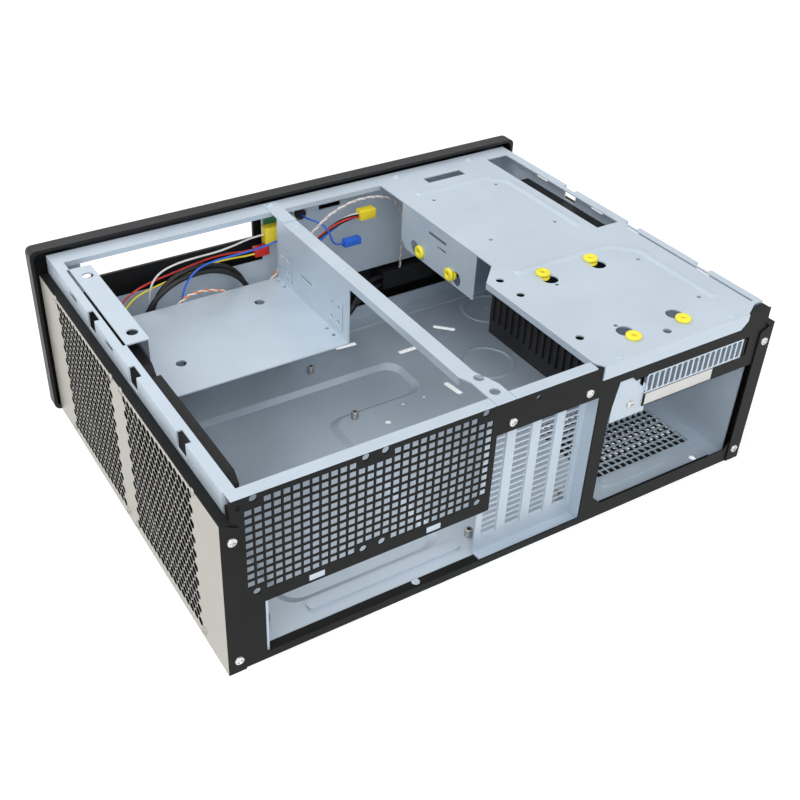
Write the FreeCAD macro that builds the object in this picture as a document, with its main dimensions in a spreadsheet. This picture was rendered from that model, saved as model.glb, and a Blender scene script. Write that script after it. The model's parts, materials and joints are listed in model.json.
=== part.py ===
import FreeCAD, Part
import math
import os
import re
import Sketcher

# A desktop media computer case with its cover taken off.
# X runs across the case, +Y is the rear, Z is up, and the origin is on the floor under the middle.
# Places are measured from the middle of the case, heights from the underside of the bottom pan.

doc = FreeCAD.newDocument("htpc_case")
sheet = doc.addObject("Spreadsheet::Sheet", "dims")

driving = {
    # overall
    "case_width": 428, "case_depth": 325, "chassis_height": 136, "foot_height": 12, "steel": 1,
    "side_space": 7, "wall_flange": 8, "foot_flange": 12, "wall_setback": 7,
    "panel_drop": 14.3, "rear_flange": 12, "fit": 0.3,
    # bezel
    "bezel_overhang": 5, "bezel_depth": 15, "bezel_rise": 5, "bezel_corner": 5, "bezel_round": 6,
    "bezel_shell": 2.5, "slot_bottom": 101, "slot_top": 128, "slot_margin": 1.5,
    # bottom pan
    "field_right": 160, "field_left": -54, "field_front_gap": 17.33, "field_step_x": 35,
    "field_step_gap": 5.06,
    "field_back": 29.5, "field_depth": 3, "field_slope": 5, "field_corner": 14,
    "bead_width": 8, "bead_height": 2, "bead_back": 22.5, "bead_1_left": 30, "bead_1_right": 147,
    "bead_2_left": -162, "bead_2_right": -100,
    "psu_grille_x": -186, "psu_grille_y": 66, "psu_grille_pitch": 13, "psu_grille_hole": 10,
    "psu_grille_columns": 7, "psu_grille_rows": 5, "lance_long": 9, "lance_wide": 3,
    "foot_in": 32, "foot_front": 43, "foot_back": 21.5, "foot_wide": 17, "foot_narrow": 15,
    # inner walls
    "notch_1_y": -52, "notch_pitch": 75, "notch_long": 13.5, "notch_deep": 12, "notch_in": 3.9,
    "hook_1_y": -89, "hook_pitch": 70, "hook_long": 14, "hook_tall": 4, "hook_z": 131,
    # fans on the side walls
    "fan_size": 120, "fan_depth": 20, "fan_corner": 6, "fan_duct": 115, "fan_holes": 105, "fan_hole": 4.5,
    "fan_z": 62.5, "fan_1_y": -53, "fan_2_y": 69.5, "fan_hub": 42, "fan_mount": 44, "fan_mount_deep": 3,
    "fan_strut": 5, "fan_window": 113, "rotor_gap": 0.5, "rotor_tip": 55, "rotor_front": 1.5,
    "blade_count": 7, "blade_root_wide": 14, "blade_tip_wide": 26, "blade_slope": 0.42, "blade_thick": 1.6,
    "blade_sweep": 9, "window_cut": 30,
    # honeycomb vents in the side panels
    "vent_pitch": 20, "vent_web": 3.4, "vent_columns": 5, "vent_rows": 3,
    # rear panel
    "io_left": 187.5, "io_right": 26, "io_bottom": 6, "io_top": 50, "cards_right": -57, "cards_top": 111,
    "mesh_left": 195.7, "mesh_right": 32.3, "mesh_top": 128.4, "mesh_bottom": 62, "mesh_columns": 16,
    "mesh_rows": 7, "mesh_hole": 8.4, "rear_fan_holes": 71.5, "rear_fan_hole": 5, "rear_fan_z": 96.5,
    "rear_fan_1_x": 156.6, "rear_fan_2_x": 71.8, "tab_long": 10.5, "tab_tall": 4.5, "tab_z": 54,
    "tab_1_x": 152.7, "tab_2_x": 68.9, "rear_lip": 9, "rear_top_flange": 6,
    "psu_left": -68, "psu_right": -205, "psu_bottom": 12, "psu_top": 89, "psu_cut": 8,
    "psu_notch_left": -73, "psu_notch_right": -98, "psu_notch_top": 117.5, "psu_notch_cut": 14,
    "psu_slots": 17, "psu_slot_first": -90.6, "psu_slot_pitch": 6.1, "psu_slot_wide": 4,
    "psu_slot_bottom": 101.5, "psu_slot_top": 114, "rear_small_hole": 4, "rear_small_x": 201.7,
    "rear_small_z": 129, "rear_stud_x": -3.9, "rear_stud_z": 130, "rear_screw_hole": 3.4,
    # connector frame and rear rail
    "io_frame_left": 185.3, "io_frame_out": 197, "io_frame_top": 50.7, "io_frame_rim": 7,
    "rail_end": -50.6, "rail_deep": 8, "rail_lip": 8,
    # expansion slots
    "card_pitch": 20.32, "card_1_x": 14.5, "card_slot_wide": 13, "card_slot_bottom": 15,
    "card_slot_top": 108, "card_recess": 10, "card_shelf": 113, "cover_gap": 1.92, "cover_thick": 0.8,
    "cover_vents": 9, "cover_vent_pitch": 10, "cover_vent_wide": 9.5, "cover_vent_tall": 4.5,
    "cover_vent_first": 20,
    # front wall
    "front_flange": 16, "front_hem": 3, "window_bottom": 87, "window_top": 129, "inlet_right": -45,
    "inlet_left": -190, "inlet_bottom": 14, "inlet_top": 50, "inlet_corner": 6, "switch_x": -1.2,
    "switch_z": 121.4, "switch_hole": 9, "wire_slot_x": -30, "wire_slot_z": 121, "wire_slot_long": 20,
    "wire_slot_tall": 4,
    # optical bay
    "bay_clear": 3, "bay_width": 150.5, "tray_height": 84, "bay_gap": 12, "tray_long": 111.5,
    "bay_flange": 12, "tongue_gap": 3.1, "tongue_lap": 10, "tray_hole": 8, "tray_hole_1_out": 30.5,
    "tray_hole_1_in": 27.6, "tray_hole_2_out": 117, "tray_hole_2_in": 76, "ear_hole_out": 7,
    "ear_hole_1_in": 14.1, "ear_hole_2_in": 98.9, "drive_hole": 3.4, "drive_hole_low": 95,
    "drive_hole_rise": 12, "drive_hole_in": 7.5, "drive_hole_span": 79.25, "drive_hole_step": 9,
    "lance_slit": 1.2, "lance_reach": 5, "bay_slit_in": 37.5, "bay_slit_long": 19, "bay_slit_low": 103.2,
    "bay_slit_top": 105.8,
    # brace bar
    "brace_leg": 6, "brace_tail": 35.5, "brace_end_in": 3.5, "brace_end_out": 18.1, "brace_taper": 9,
    "brace_hole": 7, "brace_hole_in": 10.7, "brace_hole_1_back": 28.5, "brace_hole_2_back": 11.8,
    # drive cage
    "cage_left": -70, "cage_step_y": 22, "cage_left_rear": -52, "cage_step_end": 40, "cage_right": -178,
    "cage_widen": 13, "cage_rear_left": -56, "cage_rear_right": -185, "cage_hook": 11, "cage_lip": 5,
    "cage_wall_front": -97.5, "cage_wall_rear": 3, "cage_wall_bottom": 97, "cage_wall_round": 7,
    "cage_cut_left": -108, "cage_cut_right": -145, "cage_cut_front": -126, "cage_cut_rear": -116.5,
    "small_drive_long": 76.6, "small_drive_wide": 61.72, "small_hole": 3.2, "small_1_x": -124.5,
    "small_1_y": -49.5, "small_2_x": -133, "small_2_y": 97, "big_drive_long": 95.25,
    "big_drive_wide": 44.45, "big_x": -117.5, "big_y": 97, "key_wide": 12, "key_neck": 7, "key_shift": 8.5,
    "side_grommet_z": 104, "side_grommet_1_y": -69, "side_grommet_2_y": -28, "punch_hole": 6,
    "grommet_flange": 11, "grommet_waist": 6.6, "grommet_lip": 2.6, "press_wide": 8, "press_high": 1.2,
    "press_slope": 2.8, "press_1_left": -86, "press_1_right": -168, "press_1_front": -102,
    "press_1_rear": 5, "press_1_cut": 15, "press_2_left": -78, "press_2_right": -181,
    "press_2_front": 39.5, "press_2_rear": 134, "press_2_cut": 17,
    "slit_1_front": -59.5, "slit_1_rear": -35, "slit_1_low": 124.4, "slit_1_top": 127.4,
    "slit_2_front": -47, "slit_2_rear": -35, "slit_2_low": 118.2, "slit_2_top": 120,
    # ribbed baffle and the bracket at the power supply
    "baffle_right": -57, "baffle_thick": 2.5, "baffle_front": 45, "baffle_back": 3.5, "baffle_bottom": 97,
    "baffle_strip": 109, "rib_pitch": 7, "rib_wide": 3, "rib_high": 1.3, "rib_top": 129.5,
    "psu_plate_left": -70.5, "psu_plate_right": -101, "psu_plate_bottom": 84, "psu_plate_top": 120,
    "psu_plate_cut": 16, "psu_plate_hole_x": -87, "psu_plate_hole_z": 94,
    # board fixings
    "board_left": 175, "board_middle": 157.48, "board_last": 236.22, "board_back": 26.5,
    "board_row_2": 154.94, "board_row_3": 227.33, "standoff_flat": 5, "standoff_high": 6.5,
    # front controls
    "button_wide": 13, "button_deep": 9.3, "button_travel": 1.5, "switch_wide": 8.4, "switch_back": 5.5,
    "nut_wide": 13, "nut_thick": 2, "reset_x": -24, "reset_wide": 5, "reset_deep": 5.5,
    "ports_x": -107, "ports_z": 38, "ports_wide": 52, "ports_tall": 16, "ports_back": 8, "usb_wide": 13,
    "usb_tall": 5.6, "usb_deep": 10, "usb_1_x": -92, "usb_2_x": -108, "jack_wide": 6.4, "jack_1_x": -121,
    "jack_2_x": -129, "led_board_left": 7, "led_board_right": 31, "led_board_bottom": 106,
    "led_board_top": 127, "led_board_thick": 1.6,
    # leads of the front controls and their plugs
    "wire_wide": 1.6, "pair_wide": 2.4, "cable_wide": 4.2, "sleeve_wide": 4.5, "plug_long": 9, "plug_deep": 6,
    "red_plug_left": 42, "red_plug_long": 13, "red_plug_low": 93.5, "red_plug_tall": 8,
    "board_plug_right": 20, "board_plug_long": 14, "board_plug_low": 105, "board_plug_tall": 14,
    "board_plug_deep": 7.9, "sleeve_plug_left": -45, "sleeve_plug_long": 15, "sleeve_plug_out": 21.5,
    "sleeve_plug_up": 118, "sleeve_plug_wide": 8, "switch_plug_left": -27.3, "switch_plug_long": 15.7,
    "switch_plug_out": 28, "switch_plug_up": 99.4, "switch_plug_wide": 6,
}

lance_places = [(125.6, -118.8), (85.8, -118), (-28.5, -113.8), (-73.4, -84), (-120, -97), (-75.4, -18.3)]
punch_places = [(-62.6, 42), (-63.2, 65), (-63.6, 127.9), (-120.3, 150)]
for kind, places in (("lance", lance_places), ("punch", punch_places)):
    for count, (x, y) in enumerate(places, start=1):
        driving[f"{kind}_{count}_x"] = x
        driving[f"{kind}_{count}_y"] = y

for row, (alias, value) in enumerate(driving.items(), start=1):
    sheet.set(f"A{row}", alias)
    sheet.set(f"B{row}", str(value))
    sheet.setAlias(f"B{row}", alias)
doc.recompute()

# Shared places, worked out from the driving dimensions
floor_top = "(foot_height + steel)"
top = "(foot_height + chassis_height)"
half_width = "(case_width / 2)"
wall_out = "(case_width / 2 - side_space)"
wall_in = "(case_width / 2 - side_space - steel)"
flange_in = "(case_width / 2 - side_space - wall_flange)"
rear_out = "(case_depth / 2)"
panel_out = "(case_depth / 2 - steel)"
panel_in = "(case_depth / 2 - 2 * steel)"
bezel_front = "(-case_depth / 2)"
bezel_back = "(bezel_depth - case_depth / 2)"
front_in = "(bezel_depth - case_depth / 2 + steel)"
rail_edge = "(bezel_depth - case_depth / 2 + front_flange)"
wall_end = "(case_depth / 2 - 2 * steel - wall_setback)"
card_plate = "(case_depth / 2 - 2 * steel - card_recess)"
fan_face = "(case_width / 2 - side_space - steel - fan_depth)"
bay_left = f"({fan_face} - bay_clear)"
bay_side = f"({bay_left} - bay_width)"
brace_left = f"({bay_side} - brace_end_in)"
brace_right = f"({bay_side} - brace_end_out)"
board_rear = f"({panel_in} - board_back)"
panel_top = "(foot_height + chassis_height - panel_drop)"
bezel_half = "(case_width / 2 + bezel_overhang)"
bezel_top = "(foot_height + chassis_height + bezel_rise)"
tray_front = f"({rail_edge} + bay_gap)"
tray_rear = f"({tray_front} + tray_long)"
tongue_front = f"({bezel_back} + tongue_gap)"
brace_bend = f"({panel_out} - brace_tail)"
baffle_rear = f"({card_plate} - baffle_back)"


def high(height):
    # a height above the underside of the pan
    return f"(foot_height + {height})"


def formula(text):
    return re.sub(r"[a-z_][a-z_0-9]*", lambda word: "dims." + word.group() if word.group() in driving
                  else word.group(), str(text))


def number(text):
    return float(sheet.evalExpression(formula(text)))


def bind(target, path, text):
    target.setExpression(path, formula(text))


def rectangle(left, low, right, up):
    return [(left, low), (right, low), (right, up), (left, up)]


def hold(sketch, kind, geometry, point, text):
    place = sketch.addConstraint(Sketcher.Constraint(kind, -1, 1, geometry, point, number(text)))
    bind(sketch, f"Constraints[{place}]", text)


def outline(sketch, corners):
    first = sketch.GeometryCount
    count = len(corners)
    points = [FreeCAD.Vector(number(u), number(v), 0) for u, v in corners]
    for i in range(count):
        sketch.addGeometry(Part.LineSegment(points[i], points[(i + 1) % count]))
    for i in range(count):
        sketch.addConstraint(Sketcher.Constraint("Coincident", first + i, 2, first + (i + 1) % count, 1))
    for i, (u, v) in enumerate(corners):
        hold(sketch, "DistanceX", first + i, 1, u)
        hold(sketch, "DistanceY", first + i, 1, v)


def disc(sketch, u, v, diameter):
    place = FreeCAD.Vector(number(u), number(v), 0)
    ring = sketch.addGeometry(Part.Circle(place, FreeCAD.Vector(0, 0, 1), number(diameter) / 2))
    size = sketch.addConstraint(Sketcher.Constraint("Diameter", ring, number(diameter)))
    bind(sketch, f"Constraints[{size}]", diameter)
    hold(sketch, "DistanceX", ring, 3, u)
    hold(sketch, "DistanceY", ring, 3, v)


def rounded(sketch, corners, radius):
    # square corners that each become a tangent arc; a line and an arc alternate round the outline
    count = len(corners)
    first = sketch.GeometryCount
    points = [FreeCAD.Vector(number(u), number(v), 0) for u, v in corners]
    size = number(radius)
    centres = []
    tangents = []
    for i in range(count):
        towards_last = (points[i - 1] - points[i]).normalize()
        towards_next = (points[(i + 1) % count] - points[i]).normalize()
        inward = towards_last + towards_next
        centres.append((f"{corners[i][0]} + {round(inward.x)} * {radius}",
                        f"{corners[i][1]} + {round(inward.y)} * {radius}"))
        tangents.append((points[i] + towards_last * size, points[i] + towards_next * size,
                         points[i] + inward * size, inward))
    for i in range(count):
        start, end, centre, inward = tangents[i]
        middle = centre - inward.normalize() * size
        sketch.addGeometry(Part.Arc(start, middle, end))
        sketch.addGeometry(Part.LineSegment(end, tangents[(i + 1) % count][0]))
    for i in range(count):
        arc = first + 2 * i
        line = arc + 1
        following = first + (2 * i + 2) % (2 * count)
        arc_start = tangents[i][0]
        arc_end_point = 2 if (sketch.getPoint(arc, 1) - arc_start).Length < (sketch.getPoint(arc, 2)
                                                                           - arc_start).Length else 1
        next_start = tangents[(i + 1) % count][0]
        next_point = 1 if (sketch.getPoint(following, 1) - next_start).Length < (
            sketch.getPoint(following, 2) - next_start).Length else 2
        sketch.addConstraint(Sketcher.Constraint("Tangent", line, 1, arc, arc_end_point))
        sketch.addConstraint(Sketcher.Constraint("Tangent", line, 2, following, next_point))
        bend = sketch.addConstraint(Sketcher.Constraint("Radius", arc, size))
        bind(sketch, f"Constraints[{bend}]", radius)
        hold(sketch, "DistanceX", arc, 3, centres[i][0])
        hold(sketch, "DistanceY", arc, 3, centres[i][1])


def hexagon(sketch, u, v, flat):
    # points up and down; 0.57735 is half the point-to-point size over the flat-to-flat size
    tall = f"0.57735 * {flat}"
    outline(sketch, [(u, f"{v} - {tall}"), (f"{u} + {flat} / 2", f"{v} - {tall} / 2"),
                     (f"{u} + {flat} / 2", f"{v} + {tall} / 2"), (u, f"{v} + {tall}"),
                     (f"{u} - {flat} / 2", f"{v} + {tall} / 2"), (f"{u} - {flat} / 2", f"{v} - {tall} / 2")])


def octagon(sketch, wide, corner):
    # a square about the sketch's origin with its corners cut off
    half, short = f"({wide} / 2)", f"({wide} / 2 - {corner})"
    outline(sketch, [(f"-{half}", f"-{short}"), (f"-{short}", f"-{half}"), (short, f"-{half}"),
                     (half, f"-{short}"), (half, short), (short, half), (f"-{short}", half),
                     (f"-{half}", short)])


# Bodies and their features. On the XZ plane the sketch looks along +Y, so its own normal is -Y.
parts = []


def new_body(label):
    body = doc.addObject("PartDesign::Body", label)
    body.Label = label
    parts.append(body)
    return body


def sketch_on(body, plane, at, shapes, centre=("0", "0")):
    sketch = body.newObject("Sketcher::SketchObject", f"{body.Name}_sketch")
    support = [item for item in body.Origin.OriginFeatures if item.Role == f"{plane}_Plane"][0]
    sketch.AttachmentSupport = (support, [""])
    sketch.MapMode = "FlatFace"
    bind(sketch, "AttachmentOffset.Base.x", centre[0])
    bind(sketch, "AttachmentOffset.Base.y", centre[1])
    bind(sketch, "AttachmentOffset.Base.z", f"-({at})" if plane == "XZ" else at)
    for draw, *settings in shapes:
        draw(sketch, *settings)
    return sketch


def pad(body, plane, at, depth, shapes, centre=("0", "0")):
    # adds material from the plane's place towards the positive axis
    feature = body.newObject("PartDesign::Pad", f"{body.Name}_pad")
    feature.Profile = sketch_on(body, plane, at, shapes, centre)
    feature.Reversed = plane == "XZ"
    bind(feature, "Length", depth)
    doc.recompute()
    return feature


def cut(body, plane, at, depth, shapes, centre=("0", "0")):
    # takes material away from the plane's place towards the positive axis
    before = body.Shape.Volume
    feature = body.newObject("PartDesign::Pocket", f"{body.Name}_cut")
    feature.Profile = sketch_on(body, plane, at, shapes, centre)
    feature.Reversed = plane != "XZ"
    bind(feature, "Length", depth)
    doc.recompute()
    if body.Shape.Volume > before - 0.01:
        raise ValueError(f"a cut in {body.Label} took nothing away")
    return feature


def repeat(body, feature, across, along, up=None, rise=None):
    # copies a feature along its sketch's first axis and, where asked, along its second
    pattern = body.newObject("PartDesign::LinearPattern", f"{body.Name}_rows")
    pattern.Originals = [feature]
    sketch = feature.Profile[0]
    pattern.Direction = (sketch, ["H_Axis"])
    pattern.Mode = "Spacing"
    bind(pattern, "Occurrences", across)
    bind(pattern, "Offset", along)
    if up is not None:
        pattern.Direction2 = (sketch, ["V_Axis"])
        pattern.Mode2 = "Spacing"
        bind(pattern, "Occurrences2", up)
        bind(pattern, "Offset2", rise)
    body.Tip = pattern
    doc.recompute()
    return pattern


def loft(body, kind, first, second):
    feature = body.newObject(f"PartDesign::{kind}Loft", f"{body.Name}_loft")
    feature.Profile = first
    feature.Sections = [second]
    feature.Ruled = True
    doc.recompute()
    return feature


def group(label, master, places):
    # equal loose pieces as one node; each place is a translation and a turn
    solids = []
    for place in places:
        copy = master.Shape.copy()
        copy.Placement = place.multiply(copy.Placement)
        solids.append(copy)
    feature = doc.addObject("Part::Feature", label)
    feature.Label = label
    feature.Shape = Part.makeCompound(solids)
    parts.append(feature)
    return feature


def at_place(x, y, z, turn=None):
    return FreeCAD.Placement(FreeCAD.Vector(number(x), number(y), number(z)), turn or FreeCAD.Rotation())


# Bottom pan: flat sheet with an L-shaped field pressed down, two beads and the power supply's grille
pan = new_body("bottom_pan")
pad(pan, "XY", "foot_height", "steel", [(outline, rectangle(f"-{wall_in}", bezel_back, wall_in, panel_in))])


def field(inset):
    left, right = f"field_left + {inset}", f"field_right - {inset}"
    step = f"field_step_x + {inset}"
    front = f"{board_rear} - board_row_3 + field_front_gap + {inset}"
    back = f"{board_rear} - board_row_2 - field_step_gap - {inset}"
    rear = f"{panel_in} - field_back - {inset}"
    return [(left, front), (right, front), (right, rear), (step, rear), (step, back), (left, back)]


for kind, upper in (("Additive", "foot_height"), ("Subtractive", floor_top)):
    mouth = sketch_on(pan, "XY", upper, [(rounded, field("0"), "field_corner")])
    base = sketch_on(pan, "XY", f"{upper} - field_depth", [(rounded, field("field_slope"), "field_corner")])
    loft(pan, kind, mouth, base)
for bead in ("bead_1", "bead_2"):
    bead_low, bead_up = f"{panel_in} - bead_back - bead_width / 2", f"{panel_in} - bead_back + bead_width / 2"
    pad(pan, "XY", floor_top, "bead_height",
        [(rounded, rectangle(f"{bead}_left", bead_low, f"{bead}_right", bead_up), "0.45 * bead_width")])
hole = cut(pan, "XY", "foot_height", "steel",
           [(outline, rectangle("psu_grille_x - psu_grille_hole / 2", "psu_grille_y - psu_grille_hole / 2",
                                "psu_grille_x + psu_grille_hole / 2", "psu_grille_y + psu_grille_hole / 2"))])
repeat(pan, hole, "psu_grille_columns", "psu_grille_pitch", "psu_grille_rows", "psu_grille_pitch")
cut(pan, "XY", "foot_height", "steel",
    [(outline, rectangle(f"lance_{i}_x - lance_long / 2", f"lance_{i}_y - lance_wide / 2",
                         f"lance_{i}_x + lance_long / 2", f"lance_{i}_y + lance_wide / 2"))
     for i in range(1, len(lance_places) + 1)])

# Inner side walls: folded sheets with flanges top and bottom, fan windows, hook notches and slots
for side, label, fans in ((1, "right_wall", ("fan_1_y", "fan_2_y")), (-1, "left_wall", ("fan_1_y",))):
    wall = new_body(label)
    profile = [(f"{wall_in} - foot_flange", floor_top), (wall_in, floor_top), (wall_in, "foot_height"),
               (wall_out, "foot_height"), (wall_out, top), (flange_in, top), (flange_in, f"{top} - steel"),
               (wall_in, f"{top} - steel"), (wall_in, f"{floor_top} + steel"),
               (f"{wall_in} - foot_flange", f"{floor_top} + steel")]
    pad(wall, "XZ", front_in, f"{wall_end} - {front_in}",
        [(outline, [(f"{side} * ({x})", z) for x, z in profile])])
    sheet_from = wall_in if side == 1 else f"-{wall_out}"
    for fan_y in fans:
        cut(wall, "YZ", sheet_from, "steel", [(octagon, "fan_window", "window_cut")],
            (fan_y, "foot_height + fan_z"))
    notch = cut(wall, "YZ", f"{wall_out} - notch_in" if side == 1 else f"-{wall_out}", "notch_in",
                [(outline, rectangle("notch_1_y - notch_long / 2", f"{top} - notch_deep",
                                     "notch_1_y + notch_long / 2", top))])
    repeat(wall, notch, 3, "notch_pitch")
    hook = cut(wall, "YZ", sheet_from, "steel",
               [(outline, rectangle("hook_1_y - hook_long / 2", f"{high('hook_z')} - hook_tall / 2",
                                    "hook_1_y + hook_long / 2", f"{high('hook_z')} + hook_tall / 2"))])
    repeat(wall, hook, 2, "hook_pitch")

# Outer side panels with a rear flange and honeycomb vents over the fans
for side, label, fans in ((1, "right_panel", ("fan_1_y", "fan_2_y")), (-1, "left_panel", ("fan_1_y",))):
    panel = new_body(label)
    profile = [(wall_out, "foot_height"), (half_width, "foot_height"), (half_width, panel_top),
               (wall_out, panel_top), (wall_out, f"{panel_top} - steel"),
               (f"{half_width} - steel", f"{panel_top} - steel"),
               (f"{half_width} - steel", floor_top), (wall_out, floor_top)]
    pad(panel, "XZ", bezel_back, f"{rear_out} - {bezel_back}",
        [(outline, [(f"{side} * ({x})", z) for x, z in profile])])
    flange = [(f"{half_width} - rear_flange", "foot_height"), (half_width, "foot_height"),
              (half_width, panel_top), (f"{half_width} - rear_flange", f"{panel_top} - rear_flange / 2")]
    pad(panel, "XZ", panel_out, "steel", [(outline, [(f"{side} * ({x})", z) for x, z in flange])])
    sheet_from = f"{half_width} - steel" if side == 1 else f"-{half_width}"
    row_rise = "(0.866 * vent_pitch)"
    for fan_y in fans:
        for shift in (0, 1):
            u = f"{fan_y} - (vent_columns - 1 - {shift}) * vent_pitch / 2"
            v = f"foot_height + fan_z - (vent_rows - 1 - {shift}) * {row_rise}"
            cell = cut(panel, "YZ", sheet_from, "steel", [(hexagon, u, v, "(vent_pitch - vent_web)")])
            repeat(panel, cell, f"vent_columns - {shift}", "vent_pitch", f"vent_rows - {shift}",
                   f"2 * {row_rise}")

# Rear panel: square mesh, connector and card opening, power supply opening with its slots
rear = new_body("rear_panel")
lip_half = f"({wall_in} - foot_flange)"
pad(rear, "XZ", panel_in, "steel",
    [(outline, rectangle(f"-{wall_out}", "foot_height", wall_out, f"{top} - steel"))])
pad(rear, "XY", floor_top, "steel",
    [(outline, rectangle(f"-{lip_half}", f"{panel_in} - rear_lip", lip_half, panel_in))])
pad(rear, "XY", f"{top} - 2 * steel", "steel",
    [(outline, rectangle(f"-{wall_in}", f"{panel_in} - rear_top_flange", wall_in, panel_in))])
cut(rear, "XZ", panel_in, "steel",
    [(outline, [("io_left", high("io_bottom")), ("cards_right", high("io_bottom")),
                ("cards_right", high("cards_top")), ("io_right", high("cards_top")),
                ("io_right", high("io_top")), ("io_left", high("io_top"))]),
     (outline, [("psu_left", f"{high('psu_bottom')} + psu_cut"), ("psu_left - psu_cut", high("psu_bottom")),
                ("psu_right + psu_cut", high("psu_bottom")), ("psu_right", f"{high('psu_bottom')} + psu_cut"),
                ("psu_right", high("psu_top")), ("psu_notch_right", high("psu_top")),
                ("psu_notch_right", f"{high('psu_notch_top')} - psu_notch_cut"),
                ("psu_notch_right + psu_notch_cut", high("psu_notch_top")),
                ("psu_notch_left", high("psu_notch_top")), ("psu_left", high("psu_top"))])])
slot = cut(rear, "XZ", panel_in, "steel",
           [(outline, rectangle("psu_slot_first - psu_slot_wide / 2 - (psu_slots - 1) * psu_slot_pitch",
                                high("psu_slot_bottom"),
                                "psu_slot_first + psu_slot_wide / 2 - (psu_slots - 1) * psu_slot_pitch",
                                high("psu_slot_top")))])
repeat(rear, slot, "psu_slots", "psu_slot_pitch")
column_step = "((mesh_left - mesh_right) / (mesh_columns - 1))"
row_step = "((mesh_top - mesh_bottom) / (mesh_rows - 1))"
half_columns = "(mesh_columns / 2 - 2)"
# the top and bottom rows leave out the cells beside the fan holes
mesh_blocks = (("mesh_right", f"mesh_bottom + {row_step}", "mesh_columns", "mesh_rows - 2", row_step),
               (f"mesh_right + {column_step}", "mesh_bottom", half_columns, "2", "(mesh_top - mesh_bottom)"),
               (f"mesh_right + (mesh_columns / 2 + 1) * {column_step}", "mesh_bottom", half_columns, "2",
                "(mesh_top - mesh_bottom)"))
for u, v, columns, rows, rise in mesh_blocks:
    cell = cut(rear, "XZ", panel_in, "steel",
               [(outline, rectangle(f"{u} - mesh_hole / 2", f"{high(v)} - mesh_hole / 2",
                                    f"{u} + mesh_hole / 2", f"{high(v)} + mesh_hole / 2"))])
    repeat(rear, cell, columns, column_step, rows, rise)
round_holes = [(disc, f"{fan_x} + {dx} * rear_fan_holes / 2",
                f"{high('rear_fan_z')} + {dz} * rear_fan_holes / 2", "rear_fan_hole")
               for fan_x in ("rear_fan_1_x", "rear_fan_2_x") for dx in (-1, 1) for dz in (-1, 1)]
round_holes += [(disc, "rear_small_x", high("rear_small_z"), "rear_small_hole"),
                (disc, "rear_stud_x", high("rear_stud_z"), "rear_screw_hole")]
tab_slots = [(outline, rectangle(f"{tab_x} - tab_long / 2 - fit", f"{high('tab_z')} - tab_tall / 2 - fit",
                                 f"{tab_x} + tab_long / 2 + fit", f"{high('tab_z')} + tab_tall / 2 + fit"))
             for tab_x in ("tab_1_x", "tab_2_x")]
cut(rear, "XZ", panel_in, "steel", round_holes + tab_slots)

# Pale rail along the top of the rear panel, notched for the end of the brace bar
rail = new_body("rear_rail")
rail_front = f"({panel_out} - rail_deep)"
pad(rail, "YZ", "rail_end", f"{wall_in} - rail_end",
    [(outline, [(rail_front, f"{top} - rail_lip"), (f"{rail_front} + steel", f"{top} - rail_lip"),
                (f"{rail_front} + steel", f"{top} - steel"), (panel_out, f"{top} - steel"), (panel_out, top),
                (rail_front, top)])])
cut(rail, "XY", f"{top} - steel", "steel",
    [(outline, rectangle(f"{brace_right} - fit", rail_front, f"{brace_left} + fit", panel_out))])

# Inner frame of the connector aperture, with two tabs hooked through the rear panel
io_frame = new_body("io_frame")
frame_low = f"({floor_top} + steel)"
frame_top = high("io_frame_top + io_frame_rim")
pad(io_frame, "XZ", f"{panel_in} - steel", "steel",
    [(outline, [("io_frame_left", frame_low), ("io_frame_out", frame_low), ("io_frame_out", frame_top),
                ("io_right", frame_top), ("io_right", high("io_frame_top")),
                ("io_frame_left", high("io_frame_top"))])])
pad(io_frame, "XZ", panel_in, "steel",
    [(outline, rectangle(f"{tab_x} - tab_long / 2", f"{high('tab_z')} - tab_tall / 2",
                         f"{tab_x} + tab_long / 2", f"{high('tab_z')} + tab_tall / 2"))
     for tab_x in ("tab_1_x", "tab_2_x")])

# Recessed plate with four expansion slots, a shelf above them and a ledge below
cards = new_body("slot_frame")
shelf = high("card_shelf")
pad(cards, "YZ", "cards_right", "io_right - cards_right",
    [(outline, [(panel_in, frame_low), (f"{card_plate} - steel", frame_low), (f"{card_plate} - steel", shelf),
                (panel_in, shelf), (panel_in, f"{shelf} - steel"), (card_plate, f"{shelf} - steel"),
                (card_plate, f"{frame_low} + steel"), (panel_in, f"{frame_low} + steel")])])
pad(cards, "YZ", "cards_right - steel", "steel",
    [(outline, rectangle(f"{card_plate} - steel", frame_low, panel_in, shelf))])
card_last = "(card_1_x - 3 * card_pitch)"
slot = cut(cards, "XZ", f"{card_plate} - steel", "steel",
           [(outline, rectangle(f"{card_last} - card_slot_wide / 2", high("card_slot_bottom"),
                                f"{card_last} + card_slot_wide / 2", high("card_slot_top")))])
repeat(cards, slot, 4, "card_pitch")

# Vented slot covers, folded over the shelf
for place in range(4):
    cover = new_body(f"slot_cover_{place + 1}")
    middle = f"(card_1_x - {place} * card_pitch)"
    face = f"({card_plate} - steel)"
    pad(cover, "YZ", f"{middle} - (card_pitch - cover_gap) / 2", "card_pitch - cover_gap",
        [(outline, [(f"{face} - cover_thick", f"{frame_low} + fit"), (face, f"{frame_low} + fit"),
                    (face, shelf), (f"{panel_in} - fit", shelf),
                    (f"{panel_in} - fit", f"{shelf} + cover_thick"),
                    (f"{face} - cover_thick", f"{shelf} + cover_thick")])])
    vent = cut(cover, "XZ", f"{face} - cover_thick", "cover_thick",
               [(outline, rectangle(f"{middle} - cover_vent_wide / 2", high("cover_vent_first"),
                                    f"{middle} + cover_vent_wide / 2",
                                    high("cover_vent_first + cover_vent_tall")))])
    repeat(cover, vent, 1, 1, "cover_vents", "cover_vent_pitch")

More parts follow.
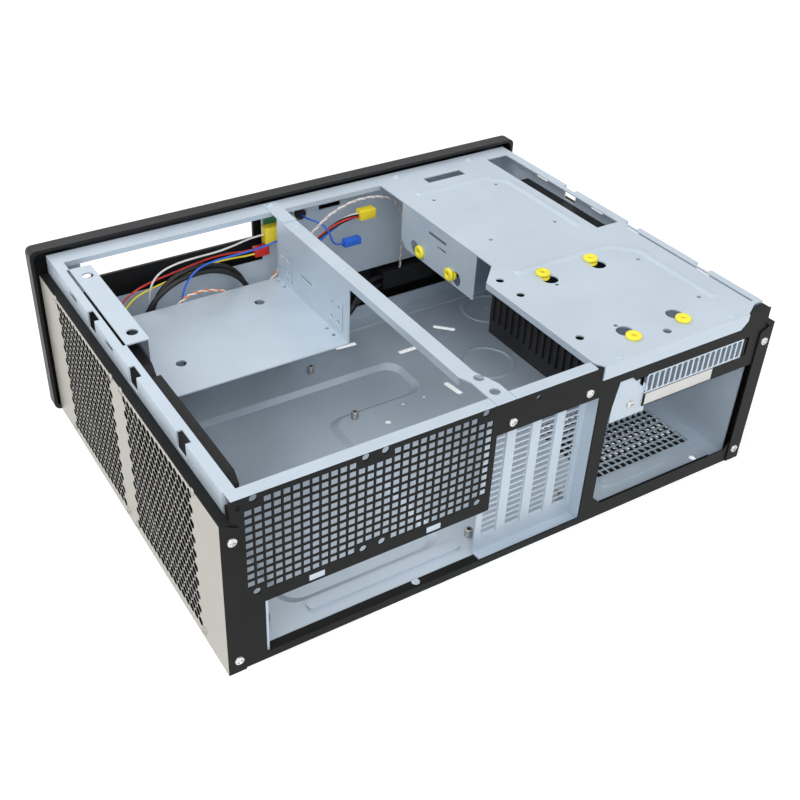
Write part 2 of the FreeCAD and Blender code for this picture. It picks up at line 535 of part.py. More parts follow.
# Front wall behind the bezel: flanged top and bottom, with the bay's window and the lower inlet
front = new_body("front_wall")
pad(front, "YZ", f"-{flange_in}", f"2 * {flange_in}",
    [(outline, [(bezel_back, floor_top), (rail_edge, floor_top), (rail_edge, f"{floor_top} + steel"),
                (front_in, f"{floor_top} + steel"), (front_in, f"{top} - steel"),
                (rail_edge, f"{top} - steel"), (rail_edge, top), (bezel_back, top)])])
for side_low in (f"-{wall_out}", flange_in):
    pad(front, "XZ", bezel_back, "steel",
        [(outline, rectangle(side_low, floor_top, f"{side_low} + {wall_out} - {flange_in}", top))])
for side_low in (f"-{flange_in}", f"{wall_in} - foot_flange"):
    side_up = f"{side_low} + {flange_in} - {wall_in} + foot_flange"
    cut(front, "XY", floor_top, "steel", [(outline, rectangle(side_low, front_in, side_up, rail_edge))])
pad(front, "XZ", f"{rail_edge} - steel", "steel",
    [(outline, rectangle("cage_left", f"{top} - steel - front_hem", flange_in, f"{top} - steel"))])
cut(front, "XZ", bezel_back, "steel",
    [(outline, rectangle(bay_side, high("window_bottom"), bay_left, high("window_top"))),
     (rounded, rectangle("inlet_left", high("inlet_bottom"), "inlet_right", high("inlet_top")),
      "inlet_corner"),
     (disc, "switch_x", high("switch_z"), "switch_hole"),
     (outline, rectangle("wire_slot_x - wire_slot_long / 2", high("wire_slot_z - wire_slot_tall / 2"),
                         "wire_slot_x + wire_slot_long / 2", high("wire_slot_z + wire_slot_tall / 2")))])

# Moulded bezel, hollow at the back, with the bay slot, ports and button holes
bezel = new_body("front_bezel")
block = pad(bezel, "XZ", bezel_front, "bezel_depth",
            [(rounded, rectangle(f"-{bezel_half}", "foot_height", bezel_half, bezel_top), "bezel_corner")])
front_face = min(range(len(block.Shape.Faces)), key=lambda i: block.Shape.Faces[i].CenterOfMass.y)
edge_round = bezel.newObject("PartDesign::Fillet", "front_bezel_round")
edge_round.Base = (block, [f"Face{front_face + 1}"])
bind(edge_round, "Radius", "bezel_round - bezel_shell / 2")
doc.recompute()
cut(bezel, "XZ", f"{bezel_front} + bezel_shell", "bezel_depth",
    [(rounded, rectangle(f"bezel_shell - {bezel_half}", "foot_height + bezel_shell",
                         f"{bezel_half} - bezel_shell", f"{bezel_top} - bezel_shell"), "bezel_corner")])
usb_holes = [(outline, rectangle(f"{port} - usb_wide / 2", high("ports_z - usb_tall / 2"),
                                 f"{port} + usb_wide / 2", high("ports_z + usb_tall / 2")))
             for port in ("usb_1_x", "usb_2_x")]
jack_holes = [(disc, port, high("ports_z"), "jack_wide") for port in ("jack_1_x", "jack_2_x")]
cut(bezel, "XZ", bezel_front, "bezel_shell",
    [(outline, rectangle(f"{bay_side} + slot_margin", high("slot_bottom"), f"{bay_left} - slot_margin",
                         high("slot_top"))),
     (disc, "switch_x", high("switch_z"), "button_wide + 2 * fit"),
     (disc, "reset_x", high("switch_z"), "reset_wide + 2 * fit")] + usb_holes + jack_holes)

# Front controls: two sprung caps, the round switch with its ring nut, the ports and a small board
for label, x, wide, deep in (("power_button", "switch_x", "button_wide", "button_deep"),
                             ("reset_button", "reset_x", "reset_wide", "reset_deep")):
    cap = new_body(label)
    pad(cap, "XZ", bezel_front, deep, [(disc, x, high("switch_z"), wide)])
switch = new_body("power_switch")
switch_front = f"({bezel_front} + button_deep + button_travel + fit)"
pad(switch, "XZ", switch_front, f"{front_in} + switch_back - {switch_front}",
    [(disc, "switch_x", high("switch_z"), "switch_wide")])
pad(switch, "XZ", front_in, "nut_thick", [(disc, "switch_x", high("switch_z"), "nut_wide")])
ports = new_body("front_ports")
ports_front = f"({bezel_front} + bezel_shell)"
pad(ports, "XZ", ports_front, f"{front_in} + ports_back - {ports_front}",
    [(outline, rectangle("ports_x - ports_wide / 2", high("ports_z - ports_tall / 2"),
                         "ports_x + ports_wide / 2", high("ports_z + ports_tall / 2")))])
cut(ports, "XZ", ports_front, "usb_deep", usb_holes + jack_holes)
board = new_body("front_board")
pad(board, "XZ", front_in, "led_board_thick",
    [(outline, rectangle("led_board_left", high("led_board_bottom"), "led_board_right",
                         high("led_board_top")))])

# Optical bay: one sheet folded into a cradle with a flange along each side
bay = new_body("optical_cradle")
tray = high("tray_height")
brace_in = f"({bay_side} - bay_flange)"
pad(bay, "XZ", tray_front, "tray_long",
    [(outline, [(brace_in, top), (bay_side, top), (bay_side, tray), (bay_left, tray), (bay_left, top),
                (flange_in, top), (flange_in, f"{top} - steel"), (f"{bay_left} + steel", f"{top} - steel"),
                (f"{bay_left} + steel", f"{tray} - steel"), (f"{bay_side} - steel", f"{tray} - steel"),
                (f"{bay_side} - steel", f"{top} - steel"), (brace_in, f"{top} - steel")])])
pad(bay, "XY", top, "steel",
    [(outline, rectangle(brace_in, tongue_front, bay_side, f"{tray_front} + tongue_lap"))])
cut(bay, "XY", f"{tray} - steel", "steel",
    [(disc, f"{bay_side} + tray_hole_{i}_out", f"{tray_front} + tray_hole_{i}_in", "tray_hole")
     for i in (1, 2)])
cut(bay, "XY", f"{top} - steel", "steel",
    [(disc, f"{bay_left} + ear_hole_out", f"{tray_front} + ear_hole_{i}_in", "tray_hole") for i in (1, 2)])
drive_ends = (f"({tray_front} + drive_hole_in)", f"({tray_front} + drive_hole_in + drive_hole_span)")
drive_holes = [(disc, f"{start} + {step} * drive_hole_step",
                high(f"drive_hole_low + {rise} * drive_hole_rise"), "drive_hole")
               for start in drive_ends for step in (0, 1) for rise in (0, 1)]
bay_slit = f"({tray_front} + bay_slit_in)"
slits = [(outline, rectangle(bay_slit, high("bay_slit_low"), f"{bay_slit} + bay_slit_long",
                             high("bay_slit_top")))]
for start in drive_ends:
    near, far = f"({start} - lance_reach)", f"({start} + drive_hole_step + lance_reach)"
    low, upper = high("drive_hole_low - lance_reach"), high("drive_hole_low + drive_hole_rise + lance_reach")
    inner_near, inner_far, inner_low = f"{near} + lance_slit", f"{far} - lance_slit", f"{low} + lance_slit"
    slits.append((outline, [(near, upper), (near, low), (far, low), (far, upper), (inner_far, upper),
                            (inner_far, inner_low), (inner_near, inner_low), (inner_near, upper)]))
cut(bay, "YZ", f"{bay_side} - steel", "steel", drive_holes + slits)

# Brace bar: an inverted channel that ends in a flat tongue in the rear rail's notch
brace = new_body("brace_bar")
pad(brace, "XZ", tray_rear, f"{brace_bend} - {tray_rear}",
    [(outline, [(brace_in, f"{top} - brace_leg"), (f"{brace_in} + steel", f"{top} - brace_leg"),
                (f"{brace_in} + steel", f"{top} - steel"), (f"{bay_side} - steel", f"{top} - steel"),
                (f"{bay_side} - steel", f"{top} - brace_leg"), (bay_side, f"{top} - brace_leg"),
                (bay_side, top), (brace_in, top)])])
pad(brace, "XY", f"{top} - steel", "steel",
    [(outline, [(brace_in, brace_bend), (bay_side, brace_bend), (brace_left, f"{brace_bend} + brace_taper"),
                (brace_left, panel_out), (brace_right, panel_out),
                (brace_right, f"{brace_bend} + 2 * brace_taper")])])
cut(brace, "XY", f"{top} - steel", "steel",
    [(disc, f"{bay_side} - brace_hole_in", f"{panel_out} - brace_hole_{i}_back", "brace_hole")
     for i in (1, 2)])

# Drive cage: top plate with two stiffening beads, keyholes and drive holes, a side wall and a rear hook
cage = new_body("drive_cage")
pad(cage, "XY", f"{top} - steel", "steel",
    [(outline, [("cage_left", rail_edge), ("cage_left", "cage_step_y"), ("cage_left_rear", "cage_step_end"),
                ("cage_left_rear", f"{panel_out} - cage_lip"), ("cage_rear_left", panel_out),
                ("cage_rear_right", panel_out), (f"-{flange_in}", wall_end), (f"-{flange_in}", "cage_widen"),
                ("cage_right", "cage_widen"), ("cage_right", rail_edge)])])
pad(cage, "XZ", panel_out, "steel",
    [(outline, [("cage_rear_left", f"{top} - cage_hook"), ("cage_rear_left", top), ("cage_rear_right", top),
                ("cage_rear_right", f"{top} - cage_hook / 2"),
                ("cage_rear_right + cage_hook / 2", f"{top} - cage_hook")])])
wall_low, wall_bend = high("cage_wall_bottom"), high("cage_wall_bottom + cage_wall_round")
pad(cage, "YZ", "cage_left - steel", "steel",
    [(outline, [("cage_wall_front", f"{top} - steel"), ("cage_wall_front", wall_bend),
                ("cage_wall_front + cage_wall_round", wall_low), ("cage_wall_rear", wall_low),
                ("cage_wall_rear", f"{top} - steel")])])
pad(cage, "YZ", "cage_left_rear - steel", "steel",
    [(outline, rectangle("cage_step_end", f"{top} - cage_lip", f"{panel_in} - rear_top_flange - fit",
                         f"{top} - steel"))])


def pressed(name, inset):
    # band round the front and the outer side with a corner cut at 45 degrees, whose offset is 0.4142 wide
    half = f"(press_wide / 2 - {inset})"
    start, end = f"{name}_left - {inset}", f"{name}_rear - {inset}"
    corner_x, corner_y = f"{name}_right + {name}_cut", f"{name}_front + {name}_cut"
    outer = [(start, f"{name}_front - {half}"), (f"{corner_x} - 0.4142 * {half}", f"{name}_front - {half}"),
             (f"{name}_right - {half}", f"{corner_y} - 0.4142 * {half}"), (f"{name}_right - {half}", end)]
    inner = [(f"{name}_right + {half}", end), (f"{name}_right + {half}", f"{corner_y} + 0.4142 * {half}"),
             (f"{corner_x} + 0.4142 * {half}", f"{name}_front + {half}"), (start, f"{name}_front + {half}")]
    return outer + inner


for name in ("press_1", "press_2"):
    for kind, lower in (("Additive", top), ("Subtractive", f"{top} - steel")):
        mouth = sketch_on(cage, "XY", lower, [(outline, pressed(name, "0"))])
        crest = sketch_on(cage, "XY", f"{lower} + press_high", [(outline, pressed(name, "press_slope"))])
        loft(cage, kind, mouth, crest)
small_holes = [(disc, f"{name}_x + {dx} * {across} / 2", f"{name}_y + {dy} * {along} / 2", "small_hole")
               for name, across, along in (("small_1", "small_drive_wide", "small_drive_long"),
                                           ("small_2", "small_drive_long", "small_drive_wide"))
               for dx in (-1, 1) for dy in (-1, 1)]
punched = [(disc, f"punch_{i}_x", f"punch_{i}_y", "punch_hole") for i in range(1, len(punch_places) + 1)]
vent = [(outline, rectangle("cage_cut_right", "cage_cut_front", "cage_cut_left", "cage_cut_rear"))]
cut(cage, "XY", f"{top} - steel", "steel", small_holes + punched + vent)


def keyhole(sketch, u, v, shift_u, shift_v):
    # the wide entry of a keyhole, beside the grommet's seat
    disc(sketch, f"{u} + {shift_u} * key_shift", f"{v} + {shift_v} * key_shift", "key_wide")


grommet_seats = [(f"(big_x + {dx} * big_drive_wide / 2)", f"(big_y + {dy} * big_drive_long / 2)", -dy)
                 for dx in (-1, 1) for dy in (-1, 1)]
cut(cage, "XY", f"{top} - steel", "steel", [(keyhole, x, y, 0, turn) for x, y, turn in grommet_seats])
for x, y, turn in grommet_seats:
    neck_low = f"{y} - key_neck / 2 - {(1 - turn) // 2} * key_shift"
    neck_up = f"{y} + key_neck / 2 + {(1 + turn) // 2} * key_shift"
    cut(cage, "XY", f"{top} - steel", "steel",
        [(rounded, rectangle(f"{x} - key_neck / 2", neck_low, f"{x} + key_neck / 2", neck_up),
          "0.45 * key_neck")])
side_seats = [("side_grommet_1_y", -1), ("side_grommet_2_y", 1)]
seat_height = high("side_grommet_z")
wall_slits = [(outline, rectangle(f"slit_{i}_front", high(f"slit_{i}_low"), f"slit_{i}_rear",
                                  high(f"slit_{i}_top"))) for i in (1, 2)]
cut(cage, "YZ", "cage_left - steel", "steel",
    [(keyhole, y, seat_height, turn, 0) for y, turn in side_seats] + wall_slits)
for y, turn in side_seats:
    neck_near = f"{y} - key_neck / 2 - {(1 - turn) // 2} * key_shift"
    neck_far = f"{y} + key_neck / 2 + {(1 + turn) // 2} * key_shift"
    cut(cage, "YZ", "cage_left - steel", "steel",
        [(rounded, rectangle(neck_near, f"{seat_height} - key_neck / 2", neck_far,
                             f"{seat_height} + key_neck / 2"), "0.45 * key_neck")])

# Ribbed baffle under the edge of the cage
baffle = new_body("card_baffle")
baffle_face = "(baffle_right + baffle_thick)"
pad(baffle, "YZ", "baffle_right", "baffle_thick",
    [(outline, rectangle("baffle_front", high("baffle_bottom"), baffle_rear, f"{top} - steel"))])
rib = pad(baffle, "YZ", baffle_face, "rib_high",
          [(outline, rectangle("baffle_front + rib_wide / 2", high("baffle_strip"),
                               "baffle_front + 1.5 * rib_wide", high("rib_top")))])
repeat(baffle, rib, f"floor(({baffle_rear} - baffle_front) / rib_pitch)", "rib_pitch")

# Small plate behind the notch of the power supply opening
psu_plate = new_body("psu_bracket")
pad(psu_plate, "XZ", f"{panel_in} - steel", "steel",
    [(outline, [("psu_plate_left", high("psu_plate_bottom")), ("psu_plate_left", high("psu_plate_top")),
                ("psu_plate_right + psu_plate_cut", high("psu_plate_top")),
                ("psu_plate_right", high("psu_plate_top - psu_plate_cut")),
                ("psu_plate_right", high("psu_plate_bottom"))])])
cut(psu_plate, "XZ", f"{panel_in} - steel", "steel",
    [(disc, "psu_plate_hole_x", high("psu_plate_hole_z"), "rear_screw_hole")])

# Fans: square frames with struts and a motor seat, and rotors with swept blades
fan_places = (("1", 1, "fan_1_y"), ("2", 1, "fan_2_y"), ("3", -1, "fan_1_y"))
for name, side, fan_y in fan_places:
    centre = (fan_y, "foot_height + fan_z")
    frame_from = fan_face if side == 1 else f"-{wall_in}"
    seat_from = f"{wall_in} - fan_mount_deep" if side == 1 else f"-{wall_in}"
    frame = new_body(f"fan_frame_{name}")
    pad(frame, "YZ", frame_from, "fan_depth", [(octagon, "fan_size", "fan_corner")], centre)
    corner_holes = [(disc, f"{dy} * fan_holes / 2", f"{dz} * fan_holes / 2", "fan_hole")
                    for dy in (-1, 1) for dz in (-1, 1)]
    cut(frame, "YZ", frame_from, "fan_depth", [(disc, "0", "0", "fan_duct")] + corner_holes, centre)
    reach = "(fan_duct / 2 + steel)"
    for across, up in ((reach, "fan_strut / 2"), ("fan_strut / 2", reach)):
        pad(frame, "YZ", seat_from, "fan_mount_deep",
            [(outline, rectangle(f"-{across}", f"-{up}", across, up))], centre)
    pad(frame, "YZ", seat_from, "fan_mount_deep", [(disc, "0", "0", "fan_mount")], centre)

    rotor = new_body(f"fan_rotor_{name}")
    hub_deep = "(fan_depth - fan_mount_deep - rotor_gap - rotor_front)"
    hub_from = f"({fan_face} + rotor_front)" if side == 1 else f"(fan_mount_deep + rotor_gap - {wall_in})"
    hub = pad(rotor, "YZ", hub_from, hub_deep, [(disc, "0", "0", "fan_hub")], centre)
    blade_middle = f"({hub_from} + {hub_deep} / 2)"

    def blade_section(wide, sweep):
        # root and tip slope alike, so a blade's faces are flat
        rise = f"{side} * blade_slope * {wide} / 2"
        near, far = f"({blade_middle} - {rise})", f"({blade_middle} + {rise})"
        left, right = f"({sweep} - {wide} / 2)", f"({sweep} + {wide} / 2)"
        return [(near, left), (f"{near} + blade_thick", left), (f"{far} + blade_thick", right), (far, right)]

    fan_height = "(foot_height + fan_z)"
    root = sketch_on(rotor, "XY", f"{fan_height} + fan_hub / 2 - 2 * blade_thick",
                     [(outline, blade_section("blade_root_wide", "0"))], ("0", fan_y))
    tip = sketch_on(rotor, "XY", f"{fan_height} + rotor_tip - 2 * blade_thick",
                    [(outline, blade_section("blade_tip_wide", "blade_sweep"))], ("0", fan_y))
    blade = loft(rotor, "Additive", root, tip)
    ring = rotor.newObject("PartDesign::PolarPattern", f"fan_rotor_{name}_blades")
    ring.Originals = [blade]
    ring.Axis = (hub.Profile[0], ["N_Axis"])
    ring.Angle = 360
    bind(ring, "Occurrences", "blade_count")
    rotor.Tip = ring
    doc.recompute()

# Loose pieces that come in sets: feet, board standoffs and rubber grommets
foot = new_body("foot_master")
cone = foot.newObject("PartDesign::AdditiveCone", "foot_cone")
bind(cone, "Radius1", "foot_narrow / 2")
bind(cone, "Radius2", "foot_wide / 2")
bind(cone, "Height", "foot_height")
grommet = new_body("grommet_master")
for low, tall, wide in (("-(steel + grommet_lip)", "grommet_lip", "grommet_flange"),
                        ("-steel", "steel", "grommet_waist"), ("0", "grommet_lip", "grommet_flange")):
    pad(grommet, "XY", low, tall, [(octagon, wide, f"0.29 * {wide}")])
standoff = new_body("standoff_master")
pad(standoff, "XY", "0", "standoff_high", [(hexagon, "0", "0", "standoff_flat")])
for master in (foot, grommet, standoff):
    parts.remove(master)

foot_x = f"({wall_in} - foot_in)"
group("feet", foot, [at_place(x, y, "0") for x in (foot_x, f"-{foot_x}")
                     for y in (f"{bezel_back} + foot_front", f"{panel_in} - foot_back")])
group("standoffs", standoff,
      [at_place(f"board_left - {x}", f"{board_rear} - {y}", floor_top)
       for x in ("0", "board_middle", "board_last") for y in ("0", "board_row_2", "board_row_3")])
sideways = FreeCAD.Rotation(FreeCAD.Vector(0, 1, 0), 90)
group("cage_grommets", grommet,
      [at_place(x, y, top) for x, y, turn in grommet_seats]
      + [at_place("cage_left", y, seat_height, sideways) for y, turn in side_seats])

# Leads of the front controls. A route's points are chosen by hand, from its exit to its plug: the place
# across the case, the distance behind the front wall and the height above the underside of the pan.
routes = {
    "lead_black_1": ("cable_wide", [
        (-81, 4, 33.5), (-70, 4, 33.5), (-56, 7.5, 26), (-41, 11, 13), (-24, 12.3, 5.2), (-4, 12.8, 4.4),
        (15, 12.4, 7), (31, 12, 17), (43, 12, 34), (50, 12.5, 56), (55, 13.2, 78), (66, 14.2, 95),
        (84, 15.2, 103.5), (104, 15.5, 105), (122, 15.5, 98.5), (134, 15.5, 85), (139.5, 15.5, 66),
        (141, 15.5, 44), (141.5, 15.5, 26), (141.5, 15.5, 11)]),
    "lead_black_2": ("cable_wide", [
        (-81, 4, 41.5), (-70, 4, 41.5), (-56, 9.5, 35.5), (-43, 16, 23.5), (-29, 21.5, 12), (-12, 24.3, 5),
        (8, 24.5, 3.6), (28, 23.5, 8), (41, 21.5, 22), (48, 20, 41), (51, 20, 62), (57, 20, 81),
        (70, 20, 95), (88, 20, 102), (107, 20, 102), (125, 20, 96), (139.5, 20, 84), (148, 20, 66),
        (151, 20, 46), (151.5, 20, 27), (151.5, 20, 10)]),
    "lead_red": ("wire_wide", [
        (195, 33.5, 47), (195, 26.5, 47), (189, 20, 51), (179.5, 15, 60), (170.5, 11.5, 71), (161, 9, 83),
        (149, 7, 92), (133, 6.5, 96.5), (114, 6.5, 99.5), (95, 6.3, 102.5), (77, 5.5, 104), (60, 3.6, 102),
        (50, 2.2, 99.6), (42, 2.2, 99.6)]),
    "lead_yellow": ("wire_wide", [
        (191.5, 33.5, 43), (191.5, 28, 43), (186, 22.6, 47), (176.5, 18, 56.5), (168, 14.5, 67),
        (159, 11.6, 79.5), (148, 9.6, 88.5), (133, 9, 92.6), (114, 9.3, 96.3), (95, 9, 99.2),
        (77, 8.2, 100.6), (60, 6, 98.6), (50, 4.4, 96.6), (42, 4.4, 96.6)]),
    "lead_white": ("wire_wide", [
        (34, 5.5, 112.5), (45, 5.5, 112.5), (60, 7.6, 110.8), (76, 9, 109.5), (94, 10, 110),
        (111, 10.5, 109.5), (126, 11, 106), (134.5, 11.5, 97), (136.5, 11, 82), (135.5, 10, 64),
        (134.5, 9, 44), (134, 8.5, 26), (134, 8.5, 11)]),
    "lead_twist": ("pair_wide", [
        (10, 1.6, 109), (10, 8.6, 109), (15.5, 15.2, 102), (27, 21, 88.5), (40, 24.6, 79), (56, 25.3, 76),
        (72, 25.4, 79.5), (86, 25.4, 86.5), (102, 25.4, 89.5), (116, 25.4, 86), (125, 25.4, 74),
        (128, 25.4, 57), (128.5, 25.4, 40), (128.7, 25.4, 25), (128.7, 25.4, 10)]),
    "lead_blue": ("wire_wide", [
        (13, 1.6, 112), (13, 8.6, 112), (18.5, 14.6, 111), (33, 18, 110), (51, 19.5, 109), (70, 20, 109.3),
        (88, 20.8, 109.2), (101, 22.8, 106.8), (110, 23.3, 98), (114.5, 23.1, 85), (116, 23.1, 68),
        (116.5, 23.1, 50), (116.8, 23.1, 29), (116.8, 23.1, 10)]),
    "lead_sleeve": ("sleeve_wide", [
        (21.5, 18, 10), (21.5, 18, 23), (21.3, 18, 38), (19.5, 18, 55.5), (14.5, 18.5, 73), (6, 19, 89),
        (-6, 20, 102), (-20, 21, 112), (-34, 21.5, 118), (-45, 21.5, 118)]),
    "lead_switch": ("wire_wide", [
        (-1.2, 5.5, 121.4), (-1.2, 12, 121.4), (-5.5, 18.5, 121.2), (-12, 24, 117.5), (-15.5, 27, 110.5),
        (-16.3, 27.8, 105.5), (-18.9, 28, 101.4), (-22.9, 28, 99.4), (-27.3, 28, 99.4)]),
    "lead_arch": ("pair_wide", [
        (-100, 4.5, 46), (-100, 4.5, 63), (-99, 8.5, 82), (-96, 12.5, 99), (-88, 17, 115), (-74, 20.5, 127),
        (-55, 22, 132.2), (-36, 23, 132), (-18, 24, 127), (-3, 24.6, 117), (11, 24.6, 104), (22, 24, 88),
        (29, 21, 69), (34, 15, 52), (37, 8.5, 38), (38, 5, 24), (38, 5, 11)]),
}
arc_share = 0.45


def lead(label, wide, route):
    # straight runs joined by tangent arcs as wide as the runs allow, with a four-sided section
    points = [FreeCAD.Vector(number(x), number(f"{front_in} + {out}"), number(high(up)))
              for x, out, up in route]
    edges = []
    radii = []
    start = points[0]
    for last, here, following in zip(points, points[1:], points[2:]):
        back = last - here
        onward = following - here
        reach = arc_share * min(back.Length, onward.Length)
        radius = reach / math.tan((math.pi - back.getAngle(onward)) / 2)
        back.normalize()
        onward.normalize()
        middle = here + (back + onward).normalize() * (math.hypot(reach, radius) - radius)
        edges.append(Part.LineSegment(start, here + back * reach).toShape())
        edges.append(Part.Arc(here + back * reach, middle, here + onward * reach).toShape())
        start = here + onward * reach
        radii.append(radius)
    edges.append(Part.LineSegment(start, points[-1]).toShape())
    spine = Part.Wire(edges)
    across = number(wide) / 2
    square_on = FreeCAD.Rotation(FreeCAD.Vector(0, 0, 1), points[1] - points[0])
    turns = [math.radians(90 * corner) for corner in range(4)]
    section_points = [FreeCAD.Vector(across * math.cos(turn), across * math.sin(turn), 0) for turn in turns]
    corners = [points[0] + square_on.multVec(point) for point in section_points]
    tube = spine.makePipeShell([Part.makePolygon(corners + corners[:1])], True, False)
    section = Part.Face(Part.makePolygon(corners + corners[:1])).Area
    if abs(tube.Volume / (section * spine.Length) - 1) > 0.02:
        raise ValueError(f"{label} has the wrong volume")
    feature = doc.addObject("Part::Feature", label)
    feature.Label = label
    feature.Shape = tube
    parts.append(feature)
    print(f"{label}: {spine.Length:.0f} mm long, radii {min(radii):.1f} to {max(radii):.0f} mm")


for label, (wide, route) in routes.items():
    lead(label, wide, route)


def plug(label, low, tall, left, long, front, deep):
    body = new_body(label)
    pad(body, "XY", low, tall, [(outline, rectangle(f"{left} - {long}", front, left, f"{front} + {deep}"))])


# Plugs that stand on the floor behind the bezel; those near the front wall stand on its lower flange
for colour, carried in (("black_1", 1), ("black_2", 0), ("white", 1), ("twist", 0), ("blue", 0),
                        ("sleeve", 0), ("arch", 1)):
    route = routes[f"lead_{colour}"][1]
    x, out, up = min(route, key=lambda place: place[2]) if colour == "sleeve" else route[-1]
    base = f"({floor_top} + {carried} * steel)"
    plug(f"plug_{colour}", base, f"{high(up)} - {base}", f"({x} + plug_long / 2)", "plug_long",
         f"({front_in} + {out} - plug_deep / 2)", "plug_deep")
plug("red_plug", high("red_plug_low"), "red_plug_tall", "red_plug_left", "red_plug_long", front_in,
     "plug_deep")
plug("board_plug", high("board_plug_low"), "board_plug_tall", "(board_plug_right + board_plug_long)",
     "board_plug_long", f"({front_in} + led_board_thick)", "board_plug_deep")
for name in ("sleeve_plug", "switch_plug"):
    plug(name, f"{high(f'{name}_up')} - {name}_wide / 2", f"{name}_wide", f"{name}_left", f"{name}_long",
         f"({front_in} + {name}_out - {name}_wide / 2)", f"{name}_wide")

doc.recompute()
for item in doc.Objects:
    if "Invalid" in item.State or "Error" in item.State:
        raise ValueError(f"{item.Label} did not build: {item.State}")
os.makedirs("parts", exist_ok=True)
for item in parts:
    if item.Shape.isNull() or not item.Shape.isValid():
        raise ValueError(f"{item.Label} has no valid shape")
    item.Shape.exportStep(f"parts/{item.Label}.step")
    print(f"{item.Label}: {len(item.Shape.Solids)} solid, {item.Shape.Volume / 1000:.2f} cm3")
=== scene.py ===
import json
import math

import bpy
from mathutils import Euler, Matrix, Vector

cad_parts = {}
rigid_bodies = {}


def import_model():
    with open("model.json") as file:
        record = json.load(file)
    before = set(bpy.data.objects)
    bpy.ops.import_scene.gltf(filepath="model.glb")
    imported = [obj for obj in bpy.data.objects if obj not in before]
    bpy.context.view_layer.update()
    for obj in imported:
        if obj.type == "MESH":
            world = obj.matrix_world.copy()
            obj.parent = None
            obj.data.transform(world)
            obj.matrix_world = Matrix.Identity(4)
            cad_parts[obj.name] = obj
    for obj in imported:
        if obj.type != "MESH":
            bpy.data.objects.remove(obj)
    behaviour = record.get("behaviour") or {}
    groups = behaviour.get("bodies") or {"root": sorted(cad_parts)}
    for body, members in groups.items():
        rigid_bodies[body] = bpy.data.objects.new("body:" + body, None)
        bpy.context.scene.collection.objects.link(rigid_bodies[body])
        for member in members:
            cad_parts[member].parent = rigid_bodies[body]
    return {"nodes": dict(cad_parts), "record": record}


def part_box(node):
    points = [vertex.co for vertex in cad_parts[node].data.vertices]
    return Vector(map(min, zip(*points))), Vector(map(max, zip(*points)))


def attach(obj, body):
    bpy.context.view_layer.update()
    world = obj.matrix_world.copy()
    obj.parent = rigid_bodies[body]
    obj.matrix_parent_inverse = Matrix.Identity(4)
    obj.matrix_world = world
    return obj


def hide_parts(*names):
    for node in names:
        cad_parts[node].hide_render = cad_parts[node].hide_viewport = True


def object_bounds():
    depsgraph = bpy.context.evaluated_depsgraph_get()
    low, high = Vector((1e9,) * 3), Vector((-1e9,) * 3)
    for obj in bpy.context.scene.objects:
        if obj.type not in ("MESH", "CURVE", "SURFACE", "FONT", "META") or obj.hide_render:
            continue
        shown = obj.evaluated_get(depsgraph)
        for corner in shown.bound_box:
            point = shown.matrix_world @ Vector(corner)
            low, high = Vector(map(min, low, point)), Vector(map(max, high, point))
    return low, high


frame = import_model()
nodes = frame["nodes"]
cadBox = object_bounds()
millimetre = 0.001
chassis = "chassis"
print("frame loaded,", len(nodes), "nodes")


# tools for making pieces: places and sizes are in millimetres

mergeGap = 0.000002  # points closer than this many metres are one
sheet = 1  # thickness of the sheets
cutDepth = 4  # length of a cutter through a sheet
cellDepth = 3  # the same, for the square grilles
creaseAngle = 35  # edges sharper than this are softened
bluntAngle = 60
turnTo = {"x": (0, math.pi / 2, 0), "-x": (0, -math.pi / 2, 0), "y": (-math.pi / 2, 0, 0),
          "z": (0, 0, 0), "-z": (math.pi, 0, 0)}


def mm(*values):
    return tuple(value * millimetre for value in values)


def deselectAll():
    bpy.ops.object.select_all(action="DESELECT")


def pick(piece):
    deselectAll()
    piece.select_set(True)
    bpy.context.view_layer.objects.active = piece


def addPiece(name, operator, **settings):
    deselectAll()
    operator(**settings)
    piece = bpy.context.object
    piece.name = name
    return piece


def linkPiece(name, data):
    piece = bpy.data.objects.new(name, data)
    bpy.context.scene.collection.objects.link(piece)
    return piece


def settle(piece):
    pick(piece)
    bpy.ops.object.transform_apply(location=True, rotation=True, scale=True)
    return piece


def cleanMesh(piece, repair=True):
    pick(piece)
    bpy.ops.object.mode_set(mode="EDIT")
    bpy.ops.mesh.select_all(action="SELECT")
    bpy.ops.mesh.remove_doubles(threshold=mergeGap)
    if repair:
        bpy.ops.mesh.dissolve_degenerate(threshold=mergeGap)
        bpy.ops.mesh.normals_make_consistent(inside=False)
    bpy.ops.object.mode_set(mode="OBJECT")
    return piece


def copyNode(node, name):
    return cleanMesh(linkPiece(name, nodes[node].data.copy()), repair=False)


def joinAll(pieces, name="joined"):
    deselectAll()
    for piece in pieces:
        piece.select_set(True)
    bpy.context.view_layer.objects.active = pieces[0]
    bpy.ops.object.join()
    whole = bpy.context.view_layer.objects.active
    whole.name = name
    return whole


def modify(piece, kind, **settings):
    modifier = piece.modifiers.new(kind, kind)
    for key, value in settings.items():
        setattr(modifier, key, value)
    pick(piece)
    bpy.ops.object.modifier_apply(modifier=modifier.name)
    return piece


def smooth(piece, angle=creaseAngle):
    pick(piece)
    bpy.ops.object.shade_smooth_by_angle(angle=math.radians(angle))
    return piece


def softenEdges(piece, width, angle=creaseAngle):
    modify(piece, "BEVEL", width=width * millimetre, segments=2, limit_method="ANGLE",
           angle_limit=math.radians(angle))
    return smooth(piece, angle)


def boxPiece(name, low, high):
    low, high = mm(*low), mm(*high)
    middle = [(a + b) / 2 for a, b in zip(low, high)]
    piece = addPiece(name, bpy.ops.mesh.primitive_cube_add, size=1, location=middle)
    piece.scale = [b - a for a, b in zip(low, high)]
    return settle(piece)


